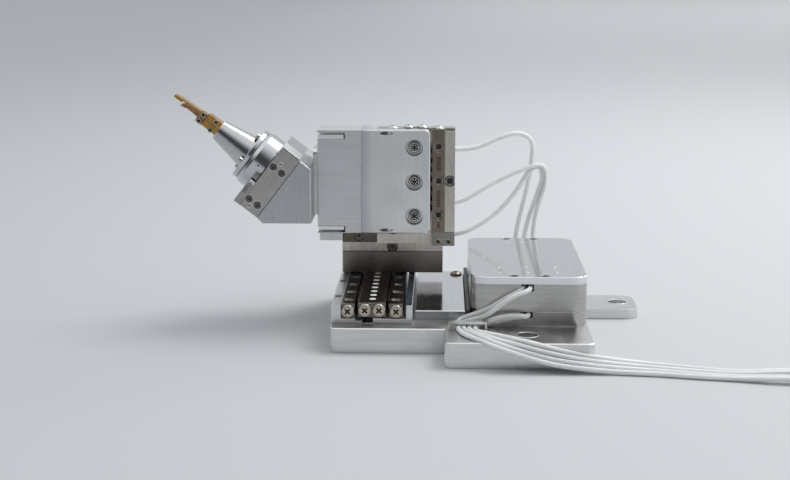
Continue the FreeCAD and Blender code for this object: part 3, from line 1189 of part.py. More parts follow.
upper = tilt(new_body("upper_jaw"))
root = [
    (s.upper_root_left, s.jaw_seat), (s.upper_root_right, s.jaw_seat), (s.upper_root_right, s.ear_high),
    (s.upper_edge_low, s.jaw_arm_start), (s.upper_slit_low, s.jaw_arm_start), (s.upper_root_left, s.ear_high),
]
pad(upper, "XZ", s.jaw_front, s.jaw_back, [root])
arm = [
    (s.upper_slit_low, s.jaw_arm_start), (s.upper_edge_low, s.jaw_arm_start),
    (s.upper_edge_high, s.upper_step),
    (s.upper_tip_right, s.upper_tip), (s.upper_tip_left, s.upper_tip), (s.upper_tip_left, s.upper_tip_step),
    (s.upper_slit_high, s.upper_tip_step),
]
arm_front = -s.arm_half
foot = rectangle(s.upper_slit_low, s.upper_edge_low, s.ear_high - s.tip_radius,
                 s.jaw_arm_start + s.tip_radius)
pad(upper, "XZ", arm_front, s.arm_half, [arm])
pad(upper, "XZ", arm_front, s.jaw_back, [foot])
pocket(upper, "XZ", s.jaw_front, s.jaw_back, circles=[(s.pivot_upper_x, s.pivot_height, s.pivot_bore)])

lower = tilt(new_body("lower_jaw"))
root = [
    (s.lower_root_left, s.jaw_seat), (s.lower_root_right, s.jaw_seat), (s.lower_root_right, s.ear_high),
    (s.lower_arm_right, s.jaw_arm_start), (s.lower_arm_left, s.jaw_arm_start),
    (s.lower_root_left, s.ear_high),
]
pad(lower, "XZ", s.jaw_front, s.jaw_back, [root])
arm = [
    (s.lower_arm_left, s.jaw_arm_start), (s.lower_arm_right, s.jaw_arm_start),
    (s.lower_waist_right, s.lower_waist), (s.lower_hook_right, s.lower_hook),
    (s.lower_tip_right, s.lower_tip),
    (s.lower_tip_left, s.lower_tip), (s.lower_hook_left, s.lower_hook), (s.lower_waist_left, s.lower_waist),
]
foot = rectangle(s.lower_arm_left, s.lower_root_right, s.ear_high - s.tip_radius,
                 s.jaw_arm_start + s.tip_radius)
pad(lower, "XZ", arm_front, s.arm_half, [arm])
pad(lower, "XZ", arm_front, s.jaw_back, [foot])
pocket(lower, "XZ", s.jaw_front, s.jaw_back, circles=[(s.pivot_lower_x, s.pivot_height, s.pivot_bore)])

# Leads. Each is a round tube along straight runs joined by tangent arcs.

LOOP_ROUTES = (
    ((-31.0, 63.7, 41.7), (-31.0, 63.7, 46.8), (-27.0, 63.8, 49.8), (-19.5, 64.2, 49.2), (-12.5, 65.2, 48.8),
     (-6.4, 66.0, 51.2), (0.4, 66.9, 54.4), (5.5, 68.6, 48.6), (4.2, 71.6, 39.8), (2.4, 76.4, 31.4),
     (-0.4, 78.3, 23.4), (-0.9, 78.3, 14.2), (-0.9, 68.5, 14.2)),
    ((-22.7, 63.7, 32.0), (-17.4, 63.7, 32.0), (-9.8, 65.4, 36.3), (-3.3, 66.9, 40.2), (4.4, 68.0, 44.7),
     (9.8, 72.0, 38.3), (7.7, 76.6, 29.8), (6.0, 78.5, 22.7), (5.4, 78.4, 14.2), (5.4, 68.5, 14.2)),
    ((-22.7, 63.7, 22.4), (-17.2, 63.7, 22.4), (-8.8, 66.8, 26.9), (-1.8, 70.8, 31.8), (4.1, 75.2, 42.2),
     (12.0, 79.2, 40.9), (9.6, 80.2, 29.4), (4.4, 79.7, 22.6), (2.1, 78.6, 14.2), (2.1, 68.5, 14.2)),
)
LEAD_ROUTES = (
    ((-0.45, 13.6, 17.5), (-0.45, 6.4, 17.5), (-7.4, 4.5, 16.9), (-11.2, 8.6, 13.3), (-18.5, 8.5, 7.65),
     (-18.5, -0.9, 7.62), (-15.4, -7.2, 7.7), (-10.6, -12.8, 7.5), (-3.4, -16.8, 5.6), (6.0, -16.6, 2.4),
     (16.4, -15.9, 0.7), (27.0, -18.4, 0.7), (40.0, -18.9, 0.7), (52.4, -19.6, 0.7), (62.0, -22.2, 1.6),
     (68.0, -22.25, 1.6)),
    ((1.15, 11.5, 17.5), (1.15, 4.2, 17.5), (-5.4, 1.9, 15.6), (-8.8, 8.4, 12.0), (-16.6, 8.2, 7.64),
     (-16.6, -1.2, 7.62), (-13.4, -6.6, 7.7), (-8.6, -11.6, 7.6), (-0.4, -15.0, 6.2), (9.2, -15.1, 2.8),
     (19.2, -14.6, 0.8), (30.0, -16.6, 0.7), (42.0, -17.2, 0.7), (53.0, -18.1, 0.7), (62.0, -20.5, 1.6),
     (68.0, -20.55, 1.6)),
    ((-0.7, 16.5, 10.0), (-0.7, 6.9, 10.0), (-14.6, 7.5, 7.62), (-14.6, -2.6, 7.62), (-9.9, -6.3, 7.7),
     (-4.2, -11.0, 7.62), (4.4, -13.3, 5.8), (13.8, -13.3, 3.0), (23.4, -12.9, 1.0), (35.0, -14.8, 0.7),
     (44.6, -15.5, 0.7), (54.0, -16.4, 0.7), (62.0, -16.3, 1.6), (68.0, -16.25, 1.6)),
    ((1.0, 15.2, 10.0), (1.0, 4.9, 10.0), (-9.4, 5.2, 7.7), (-9.4, -4.4, 7.62), (-3.2, -8.2, 7.7),
     (4.8, -10.8, 7.62), (13.6, -11.7, 6.2), (22.4, -10.9, 3.4), (31.5, -10.9, 1.2), (41.0, -12.8, 0.7),
     (52.0, -14.7, 0.7), (61.0, -14.6, 1.6), (68.0, -14.55, 1.6)),
)


def cord(label, route, radius):
    """Sweep a round section along straight runs joined by tangent arcs."""
    corners = [Vector(*place) for place in route]
    cuts = [(corners[0], corners[0])]
    edges = []
    radii = []
    for index in range(1, len(corners) - 1):
        back = corners[index - 1] - corners[index]
        ahead = corners[index + 1] - corners[index]
        reach = CORD_SHARE * min(back.Length, ahead.Length)
        turn = math.pi - back.getAngle(ahead)
        radii.append(reach / math.tan(turn / 2))
        back.normalize()
        ahead.normalize()
        start = corners[index] + back * reach
        end = corners[index] + ahead * reach
        middle_way = back + ahead
        middle_way.normalize()
        drop = radii[-1] * (1 / math.cos(turn / 2) - 1)
        middle = corners[index] + middle_way * drop
        cuts.append((start, end))
        edges.append(Part.LineSegment(cuts[-2][1], start).toShape())
        edges.append(Part.Arc(start, middle, end).toShape())
    edges.append(Part.LineSegment(cuts[-1][1], corners[-1]).toShape())
    wire = Part.Wire(edges)
    ring = Part.Wire(Part.Circle(corners[0], corners[1] - corners[0], radius.value).toShape())
    tube = wire.makePipeShell([ring], True, True)
    feature = doc.addObject("Part::Feature", label)
    feature.Label = label
    feature.Shape = tube
    feature.Placement = FreeCAD.Placement()
    ideal = math.pi * radius.value ** 2 * wire.Length
    ratio = tube.Volume / ideal
    least = min(radii) / (2 * radius.value)
    runs = [(b - a).Length for a, b in zip(corners, corners[1:])]
    print(label, "length", round(wire.Length, 1), "volume ratio", round(ratio, 4), "least radius",
          round(least, 2),
          "longest run", round(max(runs), 1), "radii",
          [round(value / (2 * radius.value), 1) for value in radii])
    NODES.append(feature)
    return feature


for number, route in enumerate(LOOP_ROUTES, start=1):
    cord("loop_cable_" + str(number), route, s.loop_radius)
for number, route in enumerate(LEAD_ROUTES, start=1):
    cord("lead_cable_" + str(number), route, s.lead_radius)

plugs = new_body("lead_plugs")
half = s.plug_width * HALF_SHARE
outlines = [rectangle(y - half, y + half, ZERO, s.plug_height) for y in (s.plug_one, s.plug_two)]
solid = pad(plugs, "YZ", s.plug_start, s.plug_start + s.plug_length, outlines)
plug_edges = [(y + side, z) for y in (s.plug_one, s.plug_two) for side in (-half, half)
              for z in (ZERO, s.plug_height)]
dress(plugs, "Chamfer", solid, edges_along(solid, 0, plug_edges), s.edge_break)
bores = []
for y in (s.plug_one, s.plug_two):
    for shift in (-s.lead_spread, s.lead_spread):
        bores.append((y + shift, s.plug_lead_height, s.plug_bore * HALF_SHARE))
pocket(plugs, "YZ", s.plug_start + s.plug_length - s.plug_bore_deep, s.plug_start + s.plug_length,
       circles=bores)

# Check every piece and write it.

doc.recompute()
faults = []
for item in doc.Objects:
    if "Invalid" in item.State or "Error" in item.State:
        faults.append(item.Label + " " + " ".join(item.State))
for node in NODES:
    shape = node.Shape
    if shape.isNull() or not shape.isValid() or shape.Volume <= 0:
        faults.append(node.Label + " has no sound shape")
if faults:
    raise RuntimeError("; ".join(faults))
for node in NODES:
    node.Shape.exportStep(os.path.join("parts", node.Label + ".step"))
print("pieces", len(NODES), "solids", sum(len(node.Shape.Solids) for node in NODES))
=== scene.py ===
"""Studio scene of a motorised micromanipulator.

Three stacked roller slides carry a tilted rotary head with a two-jaw gripper. A base plate, a
box of electronics and white silicone leads stand beside them. Metal pieces keep the shapes of
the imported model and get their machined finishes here; leads, grommets, screw faces, rims, index
marks and the studio are made here. Lengths are in millimetres where no other unit is named.
"""

from __future__ import annotations

import json
import logging
import math
from dataclasses import dataclass, field
from enum import Enum
from typing import Any

import bmesh
import bpy
from mathutils import Matrix, Vector

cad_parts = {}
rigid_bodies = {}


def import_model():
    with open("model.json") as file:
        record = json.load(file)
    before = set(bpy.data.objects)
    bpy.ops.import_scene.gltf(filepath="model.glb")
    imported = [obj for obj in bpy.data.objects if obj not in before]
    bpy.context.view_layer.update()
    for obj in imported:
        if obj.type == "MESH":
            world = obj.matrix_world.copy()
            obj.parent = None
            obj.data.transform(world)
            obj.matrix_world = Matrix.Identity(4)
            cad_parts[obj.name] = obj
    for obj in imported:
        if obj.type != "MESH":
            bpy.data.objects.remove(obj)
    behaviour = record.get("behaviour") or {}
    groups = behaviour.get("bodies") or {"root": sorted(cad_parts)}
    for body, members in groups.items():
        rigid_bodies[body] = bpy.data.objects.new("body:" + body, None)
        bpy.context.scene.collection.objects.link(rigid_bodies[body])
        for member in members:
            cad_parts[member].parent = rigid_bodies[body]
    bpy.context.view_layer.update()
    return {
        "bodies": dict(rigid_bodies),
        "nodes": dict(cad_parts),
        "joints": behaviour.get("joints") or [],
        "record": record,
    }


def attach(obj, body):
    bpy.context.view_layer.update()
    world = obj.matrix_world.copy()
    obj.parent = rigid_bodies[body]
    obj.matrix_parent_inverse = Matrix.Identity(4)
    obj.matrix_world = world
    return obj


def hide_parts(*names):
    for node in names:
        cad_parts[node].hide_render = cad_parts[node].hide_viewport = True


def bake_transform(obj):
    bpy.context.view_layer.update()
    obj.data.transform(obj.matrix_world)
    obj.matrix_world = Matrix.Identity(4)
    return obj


LOG = logging.getLogger("micromanipulator")
MM = 0.001
MICRON = 1e-6

Node = bpy.types.Node
Tree = bpy.types.NodeTree
Socket = bpy.types.NodeSocket
Mesh = bmesh.types.BMesh
Pair = tuple[float, float]
Point = tuple[float, float, float]
UP: Point = (0, 0, 1)
RIGHT: Point = (1, 0, 0)
FRONT: Point = (0, -1, 0)
BACK: Point = (0, 1, 0)

# The head's own frame: its turning axis leans back from the upright by this angle.
HEAD_PLACE = (-68.9 * MM, 46.1 * MM, 41.5 * MM)
HEAD_LEAN = math.radians(-52.5)

# Painted shade darkens a metal's corners and recesses; its edges are broken by this radius, worn, and given a painted
# highlight.
PAINTED_CORNER_SHADE = "#1C1A18"
WORN_EDGE_HIGHLIGHT = "#F2F2F0"
EDGE_BREAK = 0.18 * MM
# Painted shade along one side of a plate, darker than its brushed face.
PAINTED_SHADE_SIDE = "#C6C8CC"
# A face is level where the upright part of its normal passes this.
LEVEL_FACE = 0.8
# Nearly all of a noise's values lie in this span.
NOISE_SPAN = (0.3, 0.7)
# Clouds of wear that handling leaves on metal, and the skin of a moulded piece, as spots per metre.
CLOUDS = 1 / (9 * MM)
SKIN = 1 / (0.25 * MM)


def linear(code: str) -> tuple[float, float, float, float]:
    """Turn an sRGB hex colour into linear light.

    Args:
        code: Six hex digits, with or without a leading hash.

    Returns:
        Red, green, blue and an alpha of one.
    """
    digits = code.lstrip("#")
    levels = [int(digits[start:start + 2], 16) / 255 for start in (0, 2, 4)]
    light = [level / 12.92 if level <= 0.04045 else ((level + 0.055) / 1.055) ** 2.4 for level in levels]
    return light[0], light[1], light[2], 1.0


def add_node(
    tree: Tree,
    kind: str,
    settings: dict[str, Any] | None = None,
    values: dict[Any, Any] | None = None,
    links: dict[Any, Socket] | None = None,
) -> Node:
    """Add one shader node with its settings, socket values and links.

    Args:
        tree: The node tree that gets the node.
        kind: The node's type name.
        settings: Attributes of the node.
        values: Values of its input sockets, by name or number.
        links: Sockets that feed its inputs, by name or number.

    Returns:
        The new node.
    """
    node = tree.nodes.new(kind)
    for name, value in (settings or {}).items():
        setattr(node, name, value)
    for name, value in (values or {}).items():
        node.inputs[name].default_value = value
    for name, socket in (links or {}).items():
        tree.links.new(socket, node.inputs[name])
    return node


def show(thing: bpy.types.Object) -> None:
    """Link an object into the scene."""
    bpy.context.scene.collection.objects.link(thing)


def new_material(name: str) -> tuple[bpy.types.Material, Tree, Node]:
    """Start a material.

    Args:
        name: The material's name.

    Returns:
        The material, its cleared node tree and its output node.
    """
    material = bpy.data.materials.new(name)
    material.use_nodes = True
    tree = material.node_tree
    tree.nodes.clear()
    return material, tree, add_node(tree, "ShaderNodeOutputMaterial")


def noise(tree: Tree, place: Socket, scale: float, detail: float = 2.0, roughness: float = 0.5) -> Socket:
    """Add a noise.

    Args:
        tree: The node tree.
        place: Where it is read.
        scale: Its spots per unit of place.
        detail: Its octaves.
        roughness: How much the finer octaves weigh.

    Returns:
        Its value.
    """
    return add_node(tree, "ShaderNodeTexNoise", values={"Scale": scale, "Detail": detail, "Roughness": roughness},
                    links={"Vector": place}).outputs["Fac"]


def ramp(tree: Tree, value: Socket, span: Pair = (0.0, 1.0), result: Pair = (0.0, 1.0), smooth: bool = False
         ) -> Socket:
    """Map a value from one span to another.

    Args:
        tree: The node tree.
        value: The value.
        span: The span that it comes from.
        result: The span that it goes to.
        smooth: True to ease in and out.

    Returns:
        The mapped value.
    """
    return add_node(tree, "ShaderNodeMapRange", {"interpolation_type": "SMOOTHSTEP" if smooth else "LINEAR"},
                    {"From Min": span[0], "From Max": span[1], "To Min": result[0], "To Max": result[1]},
                    {"Value": value}).outputs[0]


def mix(tree: Tree, share: Socket, first: Any, second: Any) -> Socket:
    """Mix two colours, each given as a hex code, as linear light or by a socket.

    Args:
        tree: The node tree.
        share: The share of the second colour.
        first: The first colour.
        second: The second colour.

    Returns:
        The mixed colour.
    """
    node = add_node(tree, "ShaderNodeMix", {"data_type": "RGBA"}, links={"Factor": share})
    for socket, colour in ((node.inputs[6], first), (node.inputs[7], second)):
        if isinstance(colour, Socket):
            tree.links.new(colour, socket)
        else:
            socket.default_value = linear(colour) if isinstance(colour, str) else colour
    return node.outputs[2]


def in_head(tree: Tree, vector: Socket, origin: Point = HEAD_PLACE) -> Socket:
    """Turn a place, or a direction with its origin at zero, into the head's own frame."""
    return add_node(tree, "ShaderNodeMapping", {"vector_type": "TEXTURE"},
                    {"Location": origin, "Rotation": (0, HEAD_LEAN, 0)}, {"Vector": vector}).outputs["Vector"]


def close_metal(
    tree: Tree,
    output: Node,
    tint: Socket,
    matt: Socket,
    height: Socket,
    relief: float,
    film: float = 0.7,
) -> None:
    """Finish a metal: painted shade in its corners, worn edges with a painted highlight, tool marks and the shader.

    Args:
        tree: The material's node tree.
        output: Its output node.
        tint: The metal's colour.
        matt: Its roughness.
        height: The height of its tool marks.
        relief: The depth of the marks, in micrometres.
        film: How far out of a corner its painted shade reaches.
    """
    # Painted shade: corners and recesses darken by how shut in they are.
    corner = add_node(tree, "ShaderNodeAmbientOcclusion", {"samples": 8}, {"Distance": film * MM})
    open_air = ramp(tree, corner.outputs["AO"], (0.2, 0.72), smooth=True)
    # Edge wear and a painted highlight lie where the broken edge's normal leaves the flat face's own.
    edge = add_node(tree, "ShaderNodeBevel", {"samples": 4}, {"Radius": EDGE_BREAK})
    flat = add_node(tree, "ShaderNodeNewGeometry")
    turn = add_node(tree, "ShaderNodeVectorMath", {"operation": "DOT_PRODUCT"},
                    links={0: edge.outputs[0], 1: flat.outputs["Normal"]})
    edge_wear_highlight = ramp(tree, turn.outputs["Value"], (0.985, 0.86), (0.0, 0.8))
    shaded = mix(tree, open_air, PAINTED_CORNER_SHADE, mix(tree, edge_wear_highlight, tint, WORN_EDGE_HIGHLIGHT))
    marks = add_node(tree, "ShaderNodeBump", values={"Strength": 1.0, "Distance": relief * MICRON},
                     links={"Height": height, "Normal": edge.outputs[0]})
    shader = add_node(tree, "ShaderNodeBsdfPrincipled", values={"Metallic": 1.0},
                      links={"Base Color": shaded, "Roughness": matt, "Normal": marks.outputs[0]})
    tree.links.new(shader.outputs[0], output.inputs["Surface"])


class Grain(Enum):
    """The way that the lines of a machined surface run, as the stretch of its noise on each axis."""

    ALONG_X = (1, 0, 0)
    ALONG_Y = (0, 1, 0)
    ALONG_Z = (0, 0, 1)
    LEVEL = (1, 1, 0)
    NONE = (0, 0, 0)


@dataclass(frozen=True)
class Coating:
    """What every material of the object has.

    Attributes:
        name: The material's name.
        colour: Its colour in sRGB hex.
        shade: The colour of its darker lines, rings or patches.
        roughness: Its mean roughness.
    """

    name: str
    colour: str
    shade: str
    roughness: float


@dataclass(frozen=True)
class MachinedMetal(Coating):
    """A milled, ground or brushed metal.

    Its lines are drawn 0.3 mm apart, about one dot of the picture, where the real ones are finer.

    Attributes:
        spread: How much the roughness changes over the surface.
        grain: The way of the lines on upright faces.
        top_grain: The way of the lines on level faces.
        line: The distance between lines.
        run: The length of a line.
        relief: The depth of the lines, in micrometres.
        film: How far out of a corner its painted shade reaches.
        leaning: True where the lines follow the tilted head.
        shade_span: The span along X over which painted shade at a plate's edge fades out.
    """

    spread: float = 0.06
    grain: Grain = Grain.LEVEL
    top_grain: Grain = Grain.ALONG_Y
    line: float = 0.3
    run: float = 14.0
    relief: float = 1.2
    film: float = 0.7
    leaning: bool = False
    shade_span: Pair | None = None

    def stretch(self, grain: Grain) -> Point:
        """Return the noise's scale on each axis for a way of the lines."""
        fine, long = 1 / (self.line * MM), 1 / (self.run * MM)
        if grain is Grain.NONE:
            return fine, fine, fine
        return tuple(long if along else fine for along in grain.value)

    def build(self) -> bpy.types.Material:
        """Make the material and return it."""
        material, tree, output = new_material(self.name)
        place = add_node(tree, "ShaderNodeTexCoord")
        spot, normal = place.outputs["Object"], place.outputs["Normal"]
        if self.leaning:
            spot, normal = in_head(tree, spot), in_head(tree, normal, (0, 0, 0))
        split = add_node(tree, "ShaderNodeSeparateXYZ", links={0: normal})
        upright = add_node(tree, "ShaderNodeMath", {"operation": "ABSOLUTE"}, links={0: split.outputs["Z"]})
        is_top = add_node(tree, "ShaderNodeMath", {"operation": "GREATER_THAN"}, {1: LEVEL_FACE},
                          {0: upright.outputs[0]})
        sides, tops = (add_node(tree, "ShaderNodeMapping", values={"Scale": self.stretch(grain)},
                                links={"Vector": spot}) for grain in (self.grain, self.top_grain))
        chosen = add_node(tree, "ShaderNodeMix", {"data_type": "VECTOR"},
                          links={"Factor": is_top.outputs[0], 4: sides.outputs[0], 5: tops.outputs[0]})
        lines = noise(tree, chosen.outputs[1], 1.0, 3.0, 0.6)
        colour = mix(tree, ramp(tree, lines, NOISE_SPAN), self.shade, self.colour)
        # Painted shade: darker towards the low end of X.
        if self.shade_span:
            run = add_node(tree, "ShaderNodeSeparateXYZ", links={0: spot})
            edge = ramp(tree, run.outputs["X"], (self.shade_span[0] * MM, self.shade_span[1] * MM), smooth=True)
            colour = mix(tree, edge, PAINTED_SHADE_SIDE, colour)
        matt = ramp(tree, noise(tree, spot, CLOUDS), NOISE_SPAN,
                    (self.roughness - self.spread, self.roughness + self.spread))
        close_metal(tree, output, colour, matt, lines, self.relief, self.film)
        return material


def plain(name: str, colour: str, shade: str, roughness: float, spread: float = 0.06, **more: Any) -> MachinedMetal:
    """Return a metal whose marks run no way, as on small pieces."""
    return MachinedMetal(name, colour, shade, roughness, spread, Grain.NONE, Grain.NONE, **more)


@dataclass(frozen=True)
class TurnedMetal(Coating):
    """A metal turned on a lathe, with fine rings round the head's axis.

    Attributes:
        line: The distance between rings.
        relief: The depth of the rings, in micrometres.
    """

    line: float = 0.28
    relief: float = 1.6

    def build(self) -> bpy.types.Material:
        """Make the material and return it."""
        material, tree, output = new_material(self.name)
        place = add_node(tree, "ShaderNodeTexCoord")
        split = add_node(tree, "ShaderNodeSeparateXYZ", links={0: in_head(tree, place.outputs["Object"])})
        flat = add_node(tree, "ShaderNodeCombineXYZ", links={0: split.outputs["X"], 1: split.outputs["Y"]})
        away = add_node(tree, "ShaderNodeVectorMath", {"operation": "LENGTH"}, links={0: flat.outputs[0]})
        around = add_node(tree, "ShaderNodeCombineXYZ", links={0: away.outputs["Value"], 2: split.outputs["Z"]})
        fine = noise(tree, around.outputs[0], 1 / (self.line * MM))
        tint = mix(tree, ramp(tree, fine, NOISE_SPAN), self.shade, self.colour)
        matt = ramp(tree, fine, result=(self.roughness - 0.04, self.roughness + 0.05))
        close_metal(tree, output, tint, matt, fine, self.relief)
        return material


@dataclass(frozen=True)
class MouldedPlastic(Coating):
    """A moulded plastic, silicone, laminate, ceramic or glass, with a fine skin texture.

    Attributes:
        ior: Its index of refraction.
        glow: The share of light that passes under its skin.
        depth: How far that light goes.
        patch: The size of the patches.
        relief: The depth of the skin texture, in micrometres.
        coat: The weight of a clear coat.
    """

    ior: float = 1.5
    glow: float = 0.0
    depth: float = 0.6
    patch: float = 3.0
    relief: float = 2.0
    coat: float = 0.0

    def build(self) -> bpy.types.Material:
        """Make the material and return it."""
        material, tree, output = new_material(self.name)
        spot = add_node(tree, "ShaderNodeTexCoord").outputs["Object"]
        patches = noise(tree, spot, 1 / (self.patch * MM))
        tint = mix(tree, patches, self.shade, self.colour)
        matt = ramp(tree, patches, result=(self.roughness - 0.05, self.roughness + 0.05))
        relief = add_node(tree, "ShaderNodeBump", values={"Strength": 1.0, "Distance": self.relief * MICRON},
                          links={"Height": noise(tree, spot, SKIN)})
        shader = add_node(tree, "ShaderNodeBsdfPrincipled",
                          values={"IOR": self.ior, "Subsurface Weight": self.glow,
                                  "Subsurface Scale": self.depth * MM, "Subsurface Radius": (1.0, 1.0, 1.0),
                                  "Coat Weight": self.coat},
                          links={"Base Color": tint, "Roughness": matt, "Normal": relief.outputs[0]})
        tree.links.new(shader.outputs[0], output.inputs["Surface"])
        return material


class Finish(Enum):
    """The finishes of the object, each with the settings of its material."""

    # Aluminium milled and brushed: pale, with faint level lines on its sides.
    MILLED = MachinedMetal("milled_aluminium", "#E4E4E3", "#D6D6D5", 0.30, relief=0.5)
    # The electronics box is brushed level and a little browner than the base.
    BRUSHED_BOX = MachinedMetal("level_brushed_aluminium", "#BDBCB9", "#ADACA9", 0.25, run=24.0, relief=0.4)
    # The head block is brushed from side to side.
    BRUSHED_ACROSS = MachinedMetal("cross_brushed_aluminium", "#E1E2E3", "#D6D8D9", 0.36, grain=Grain.ALONG_X,
                                   line=0.45, run=30.0, relief=0.6)
    # The table plate is brushed upright; painted shade darkens its left edge.
    BRUSHED_UP = MachinedMetal("upright_brushed_aluminium", "#E8E9E9", "#DFE0E1", 0.33, grain=Grain.ALONG_Z, run=30.0,
                               relief=0.3, shade_span=(-46.4, -42.6))
    # The wedge is finely blasted and brushed.
    BRUSHED_FINE = MachinedMetal("fine_brushed_aluminium", "#C9CCCE", "#BBBEC1", 0.38, grain=Grain.ALONG_Z, line=0.26,
                                 run=5.0, relief=0.5)
    # Housing of the head: brushed along the tilted face, a little darker than the wedge.
    BRUSHED_LEANING = MachinedMetal("leaning_brushed_aluminium", "#BDBBB8", "#AEACA9", 0.30, grain=Grain.ALONG_X,
                                    relief=0.5, leaning=True)
    # The lid and the plate beside the slide are lapped nearly to a mirror.
    LAPPED = MachinedMetal("lapped_aluminium", "#E6E8EA", "#DEE0E2", 0.11, 0.03, line=0.35, relief=0.16)
    # Guide rails: hardened steel, ground along their length, warm and dark.
    GROUND_LONG = MachinedMetal("ground_steel_long", "#7A7068", "#685F58", 0.22, 0.04, grain=Grain.ALONG_Y, line=0.25,
                                relief=0.4)
    GROUND_CROSS = MachinedMetal("ground_steel_cross", "#6F655B", "#5F564E", 0.22, 0.04, grain=Grain.ALONG_X,
                                 top_grain=Grain.ALONG_X, line=0.25, relief=0.4)
    GROUND_UPRIGHT = MachinedMetal("ground_steel_upright", "#8A7D72", "#766A60", 0.24, 0.04, grain=Grain.ALONG_Z,
                                   line=0.25, relief=0.4)
    # The slide bodies are milled from a warm nickel-plated alloy.
    PLATED = MachinedMetal("plated_slide_body", "#D2CCC1", "#B9B2A6", 0.24, grain=Grain.ALONG_Z, line=0.5, run=6.0,
                           relief=0.6)
    # The upright of the first carriage is ground to a dark mirror.
    MIRROR = MachinedMetal("mirror_ground_steel", "#99918A", "#8D857E", 0.27, 0.04, grain=Grain.ALONG_Z, line=0.6,
                           relief=0.25)
    # The small stop block under the upright slide is ground steel, darker than the aluminium round it.
    GROUND_BLOCK = MachinedMetal("ground_stop_steel", "#A09C97", "#8C8884", 0.3, grain=Grain.ALONG_X, relief=0.4)
    # Screws of nickel-plated steel, with a little scatter in tone.
    FASTENER = plain("nickel_plated_steel", "#CFCCC6", "#BAB6AF", 0.22, 0.06, line=1.2, relief=0.5, film=1.6)
    # Recessed screws are painted darker as shade, in dark steel; the lens floors get the same painted shade.
    DARK_SCREW_AND_SHADE = plain("dark_steel_and_painted_shade", "#77716A", "#5E5952", 0.24, 0.06, line=1.2, relief=0.5, film=1.2)
    # Rims of holes, countersunk and left bright; with the thin edges, seams, pins and dots made of it, this
    # near-white metal is partly a painted highlight.
    BRIGHT_CUT_HIGHLIGHT = plain("bright_cut_painted_highlight", "#F0F1F1", "#E6E7E8", 0.34, line=0.8, relief=0.2, film=0.1)
    # Flat pan heads, turned and polished, a little golden.
    PAN_HEAD = plain("polished_pan_head", "#CFC4B2", "#B9AE9C", 0.26, line=1.0, relief=0.3, film=0.3)
    # Roller cages of rolled brass and their bearing steel rollers, painted darker than clean brass as shade between
    # the rails.
    ROLLED_BRASS = MachinedMetal("rolled_brass", "#7A6B4C", "#5F523A", 0.36, grain=Grain.ALONG_Y, line=0.3)
    # Gripper body: brass with a thin gilt layer.
    GILT = plain("gilt_brass", "#D6A352", "#B98236", 0.26, 0.08, line=1.0, relief=0.8, leaning=True)
    # Jaws: copper alloy with a red cast.
    COPPER = plain("copper_alloy", "#C8986A", "#A06A42", 0.30, 0.08, line=1.1, relief=0.8, leaning=True)
    # Ring, flange and cone turned from stainless steel.
    TURNED = TurnedMetal("turned_stainless_steel", "#D3D5D7", "#C2C5C8", 0.16, relief=0.5)
    TURNED_CONE = TurnedMetal("turned_cone_steel", "#C9C9C8", "#B8B9B9", 0.20, relief=0.6)
    # Flat piezo drives: fired black ceramic.
    FIRED_CERAMIC = MouldedPlastic("fired_black_ceramic", "#191A1C", "#0F1011", 0.42, 1.6)
    # Graduated scale tape: dark blue-grey glass.
    SCALE_GLASS = MouldedPlastic("coated_scale_glass", "#3F4A57", "#2D3640", 0.12, 1.52, coat=0.6)
    # Circuit board: green solder mask over glass laminate.
    SOLDER_MASK = MouldedPlastic("solder_mask_laminate", "#1E5B3C", "#164730", 0.35, 1.5)
    # Leads: soft extruded silicone that lets light in under its skin.
    SILICONE = MouldedPlastic("extruded_silicone", "#E2E3E2", "#D2D4D3", 0.34, 1.41, 1.0, 3.0, 6.0, 1.0)
    # Plugs: moulded nylon.
    NYLON = MouldedPlastic("moulded_nylon", "#ECEBE6", "#DFDED8", 0.45, 1.53, 0.15, 0.4, 2.0, 3.0)
    # Plugs in the rail's bores: pale discs as painted glints, seen as bright ovals.
    PALE_GLINT = MouldedPlastic("pale_painted_glint", "#F4F2EE", "#ECEAE6", 0.35, 1.6)
    # Spacer between plate and box: a black block, seen nearly matt, that stands in as painted shade for the gap
    # there.
    BLACK_ANODISED_AND_SHADE = MouldedPlastic("black_anodised_and_painted_shade", "#1C1C1D", "#141415", 0.4, 1.6)
    # Engraving filled with black; the same black is painted shade in the crosses, sockets and cups of screw faces.
    ENGRAVING_AND_RECESS_SHADE = MouldedPlastic("engraved_black_and_recess_shade", "#2A2826", "#1B1A19", 0.6, 1.5)


class Palette:
    """Makes each finish once and lends it to every piece that has it."""

    def __init__(self) -> None:
        """Start with no material."""
        self.made: dict[Finish, bpy.types.Material] = {}

    def get(self, finish: Finish) -> bpy.types.Material:
        """Return the material of a finish, made on its first use."""
        if finish not in self.made:
            self.made[finish] = finish.value.build()
        return self.made[finish]


